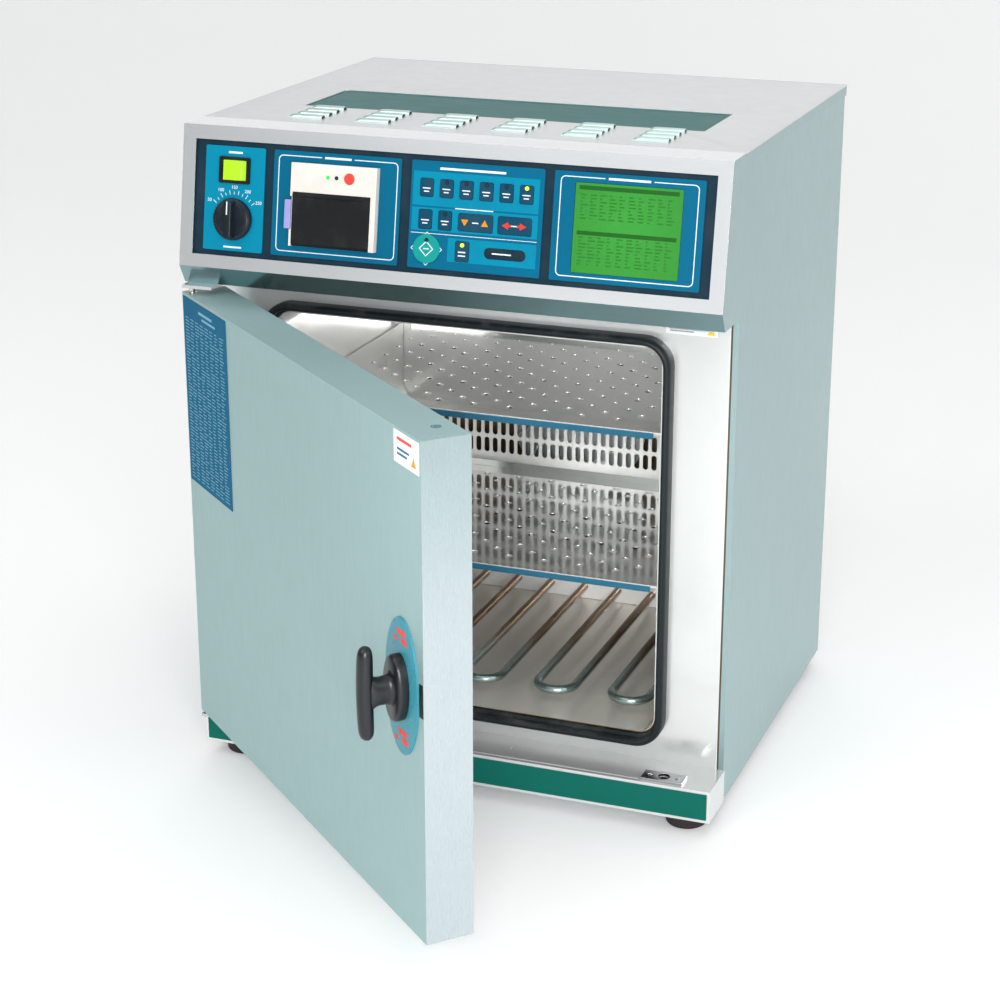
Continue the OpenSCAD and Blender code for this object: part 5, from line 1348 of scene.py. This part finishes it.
class STERILIZER_OT_door(bpy.types.Operator):
    """Build the door's skin, inner panel, plates and escutcheon"""
    bl_idname = "sterilizer.door"
    bl_label = "Door"

    def execute(self, context):
        s = sizes()
        edge_way = (DOOR.to_3x3() @ Vector((1, 0, 0))).normalized()
        rounded_copy("door_skin", 0.0007, "door door_edge",
                     lambda m, n: 1 if n.dot(edge_way) > 0.9 else 0)
        rounded_copy("door_inner_panel", 0.0006, "frame")
        rounded_copy("edge_insert", s.plate_round, "black")
        rounded_copy("door_plates", s.plate_round, "notice label",
                     lambda m, n: 0 if (DOOR.inverted() @ m).x < 0 else 1)
        plate = on_door(NOTICE_X, PLATE_FRONT, NOTICE_Z)
        notice = Form()
        notice.ribbon([(-14, 82), (20, 82)], 2.6, *PRINT)
        notice.ribbon([(-6, 77), (28, 77)], 2.2, *PRINT)
        place_piece("notice_heading", notice.mesh("notice_heading"), plate, "door", "pale_ink")
        word = Form()
        word.block(0, 11.5, -0.38, 0.38, 0, 0.06)
        lines = grown(GROUPS["ruled"], word.mesh("word"), Columns=8, Rows=52, Pitch_X=12.4,
                      Pitch_Y=3.05, Middle=(-5.6, -7, 0), Shortest=0.4, Seed=s.seed,
                      Finish=finish("pale_ink"))
        place_piece("notice_lines", lines, plate, "door", "pale_ink")
        label = Form()
        label.ribbon([(-16, 7), (10, 7)], 2.6, *PRINT)
        label.finish = 1
        label.ribbon([(-16, -1), (6, -1)], 2.0, *PRINT)
        label.ribbon([(-16, -5), (2, -5)], 2.0, *PRINT)
        label.finish = 2
        label.prism([(9, -9), (18, -9), (13.5, -1)], *PRINT)
        place_piece("label_marks", label.mesh("label_marks"), on_door(233, PLATE_FRONT, 447), "door",
                    "red_ink dark_film orange_ink")
        badge = Form()
        place = on_door(BADGE_X, DOOR_FRONT, BADGE_Z)
        badge.crowned(oval(30, 58.5, 96), 0, 1.6, 0.5)
        place_piece("escutcheon_piece", badge.mesh("escutcheon"), place, "door", "badge",
                    ("escutcheon",), angle=35)
        marks = Form()
        over = (1.58, 1.68)
        marks.arc(22, 62, 118, 1.4, *over)
        marks.prism([(-11.5, 20.3), (-7.8, 23.4), (-13.2, 25.0)], *over)
        for y in (43, -43):
            marks.ribbon([(-6, y + 3.4), (10, y + 3.4)], 5.0, *over)
            marks.ribbon([(1, y - 3.2), (12, y - 3.2)], 5.0, *over)
            marks.ribbon([(-13, y - 4.4), (-7, y - 4.4)], 4.0, *over)
        place_piece("escutcheon_marks", marks.mesh("escutcheon_marks"), place, "door",
                    "red_ink")
        return {"FINISHED"}


class STERILIZER_OT_handle(bpy.types.Operator):
    """Build the T handle with its oval boss"""
    bl_idname = "sterilizer.handle"
    bl_label = "Handle"

    def execute(self, context):
        place = on_door(BADGE_X, DOOR_FRONT, BADGE_Z)
        handle = Form()
        rings = []
        for z, kx, ky in ((1.9, 1.0, 1.0), (7.4, 1.0, 1.0), (9.6, 0.97, 0.98), (10.7, 0.88, 0.93),
                          (10.95, 0.66, 0.6), (12.2, 0.55, 0.47), (15, 0.5, 0.43), (21, 0.5, 0.42),
                          (25, 0.5, 0.45), (28, 0.48, 0.53), (30, 0.42, 0.62)):
            rings.append([(x * kx, y * ky, z) for x, y in oval(16, 28.5, 48)])
        handle.loft(rings)
        rings = []
        steps = 30
        for i in range(steps + 1):
            t = math.sin(math.pi / 2 * (-1 + 2 * i / steps))
            y = 40.0 * t
            end = max(0.02, 1 - abs(t) ** 12) ** 0.5
            bow = 1.0 * t * t
            wide, thick = 7.2 * end * (1 - 0.08 * t * t), 6.8 * end * (1 - 0.08 * t * t)
            rings.append([(wide * math.cos(a), y, 33.0 - bow + thick * math.sin(a))
                          for a in (2 * math.pi * k / 24 for k in range(24))])
        handle.loft(rings)
        place_piece("handle_piece", handle.mesh("handle"), place, "handle", "handle",
                    ("door_handle",), angle=50)
        return {"FINISHED"}


class STERILIZER_OT_studio(bpy.types.Operator):
    """Set the floor, lights, surroundings and camera"""
    bl_idname = "sterilizer.studio"
    bl_label = "Studio"

    def execute(self, context):
        scene = bpy.context.scene
        studio = scene.sterilizer_studio
        scene.view_settings.view_transform = "Standard"
        floor = bpy.data.meshes.new("floor")
        reach, rise = 10.0, 4.0
        bend = [(-reach, 0.0)] + [(2.4 + 1.2 * math.sin(a), 1.2 - 1.2 * math.cos(a))
                                  for a in (math.pi / 2 * k / 12 for k in range(13))] + [(3.6, rise)]
        points = [(x, y, z) for y, z in bend for x in (-reach, reach)]
        strips = range(0, 2 * len(bend) - 2, 2)
        floor.from_pydata(points, [], [(i, i + 1, i + 3, i + 2) for i in strips])
        for poly in floor.polygons:
            poly.use_smooth = True
        sheet = bpy.data.objects.new("floor", floor)
        scene.collection.objects.link(sheet)
        floor.materials.append(self.floor_finish(studio))
        self.surroundings(studio)
        for name, power, place, aim, size in (
                ("key", studio.key, (-1.6, -2.2, 2.6), (0, 0, 0.3), 1.8),
                ("fill", studio.fill, (2.8, -1.2, 1.7), (0, 0, 0.3), 1.6),
                ("top", studio.fill, (0.2, 0.3, 3.0), (0, 0, 0.3), 2.2),
                ("front", studio.front, (0.75, -1.9, 0.75), (0.05, 0.1, 0.25), 0.7)):
            self.lamp(name, "AREA", power, place, aim, size=size)
        self.lamp("chamber_beam", "SPOT", studio.beam, (0.55, -2.0, 0.95), (0.035, 0.13, 0.2),
                  spot_size=math.radians(9), spot_blend=0.8, shadow_soft_size=0.12)
        camera = bpy.data.objects.new("camera", bpy.data.cameras.new("camera"))
        scene.collection.objects.link(camera)
        camera.data.lens = studio.lens / MM
        camera.data.sensor_width = 36.0
        camera.location = studio.eye
        camera.rotation_euler = (math.pi / 2 - studio.pitch, 0, studio.yaw)
        scene.camera = camera
        return {"FINISHED"}

    def lamp(self, name, kind, power, place, aim, **settings):
        data = bpy.data.lights.new(name, kind)
        data.energy = power
        for key, value in settings.items():
            setattr(data, key, value)
        light = bpy.data.objects.new(name, data)
        bpy.context.scene.collection.objects.link(light)
        light.location = place
        light.rotation_euler = (Vector(aim) - Vector(place)).to_track_quat("-Z", "Y").to_euler()

    def floor_finish(self, studio):
        f = Finish("studio_floor", studio.floor, 0.9, Emission_Color=(1, 1, 1, 1), Emission_Strength=0.09)
        paper = f.t.add("ShaderNodeTexNoise", Vector=f.t.object_place(), Scale=3.0)
        f.blend(f.t.math("MULTIPLY", paper.outputs["Fac"], 0.02), darker(studio.floor, 0.97))
        return f.done()

    def surroundings(self, studio):
        world = bpy.data.worlds.new("studio")
        bpy.context.scene.world = world
        world.use_nodes = True
        t = Tree(world.node_tree)
        nodes = world.node_tree.nodes
        nodes.clear()
        place = t.add("ShaderNodeTexCoord")
        way = t.add("ShaderNodeSeparateXYZ", Vector=place.outputs["Generated"])
        side = t.span(way.outputs[0], -0.48, -0.34, studio.shade, settings=SMOOTH)
        ramp = t.add("ShaderNodeValToRGB", Fac=t.span(way.outputs[2], -0.2, 0.9))
        ramp.color_ramp.elements[0].color = (0.62, 0.64, 0.66, 1)
        ramp.color_ramp.elements[1].color = (1.0, 1.0, 1.0, 1)
        soft = t.add("ShaderNodeBackground", Color=ramp.outputs[0],
                     Strength=t.math("MULTIPLY", side, studio.sky))
        plain = t.add("ShaderNodeBackground", Color=(1, 1, 1, 1), Strength=1.0)
        path = t.add("ShaderNodeLightPath")
        mix = t.add("ShaderNodeMixShader", Fac=path.outputs["Is Camera Ray"])
        t.tree.links.new(soft.outputs[0], mix.inputs[1])
        t.tree.links.new(plain.outputs[0], mix.inputs[2])
        t.add("ShaderNodeOutputWorld", Surface=mix.outputs[0])


OPERATORS = (
    STERILIZER_OT_finishes, STERILIZER_OT_inner_parts, STERILIZER_OT_cabinet, STERILIZER_OT_top,
    STERILIZER_OT_chamber, STERILIZER_OT_screws, STERILIZER_OT_fascia, STERILIZER_OT_controls,
    STERILIZER_OT_panel_print, STERILIZER_OT_door, STERILIZER_OT_handle, STERILIZER_OT_studio,
)


class STERILIZER_PT_panel(bpy.types.Panel):
    """Sizes, colours and pieces of the sterilizer"""
    bl_idname = "STERILIZER_PT_panel"
    bl_label = "Sterilizer"
    bl_space_type = "VIEW_3D"
    bl_region_type = "UI"
    bl_category = "Sterilizer"

    def draw(self, context):
        for operator in OPERATORS:
            self.layout.operator(operator.bl_idname)
        for group in (sizes(), colours(), context.scene.sterilizer_studio):
            box = self.layout.box()
            for key in group.__annotations__:
                box.prop(group, key)


CLASSES = (SterilizerSizes, SterilizerColours, SterilizerStudio) + OPERATORS + (STERILIZER_PT_panel,)


def register():
    for cls in CLASSES:
        bpy.utils.register_class(cls)
    bpy.types.Scene.sterilizer_sizes = PointerProperty(type=SterilizerSizes)
    bpy.types.Scene.sterilizer_colours = PointerProperty(type=SterilizerColours)
    bpy.types.Scene.sterilizer_studio = PointerProperty(type=SterilizerStudio)


def unregister():
    for key in ("sterilizer_sizes", "sterilizer_colours", "sterilizer_studio"):
        delattr(bpy.types.Scene, key)
    for cls in reversed(CLASSES):
        bpy.utils.unregister_class(cls)


def main():
    register()
    for operator in OPERATORS:
        group, name = operator.bl_idname.split(".")
        getattr(getattr(bpy.ops, group), name)()


if __name__ == "__main__":
    main()
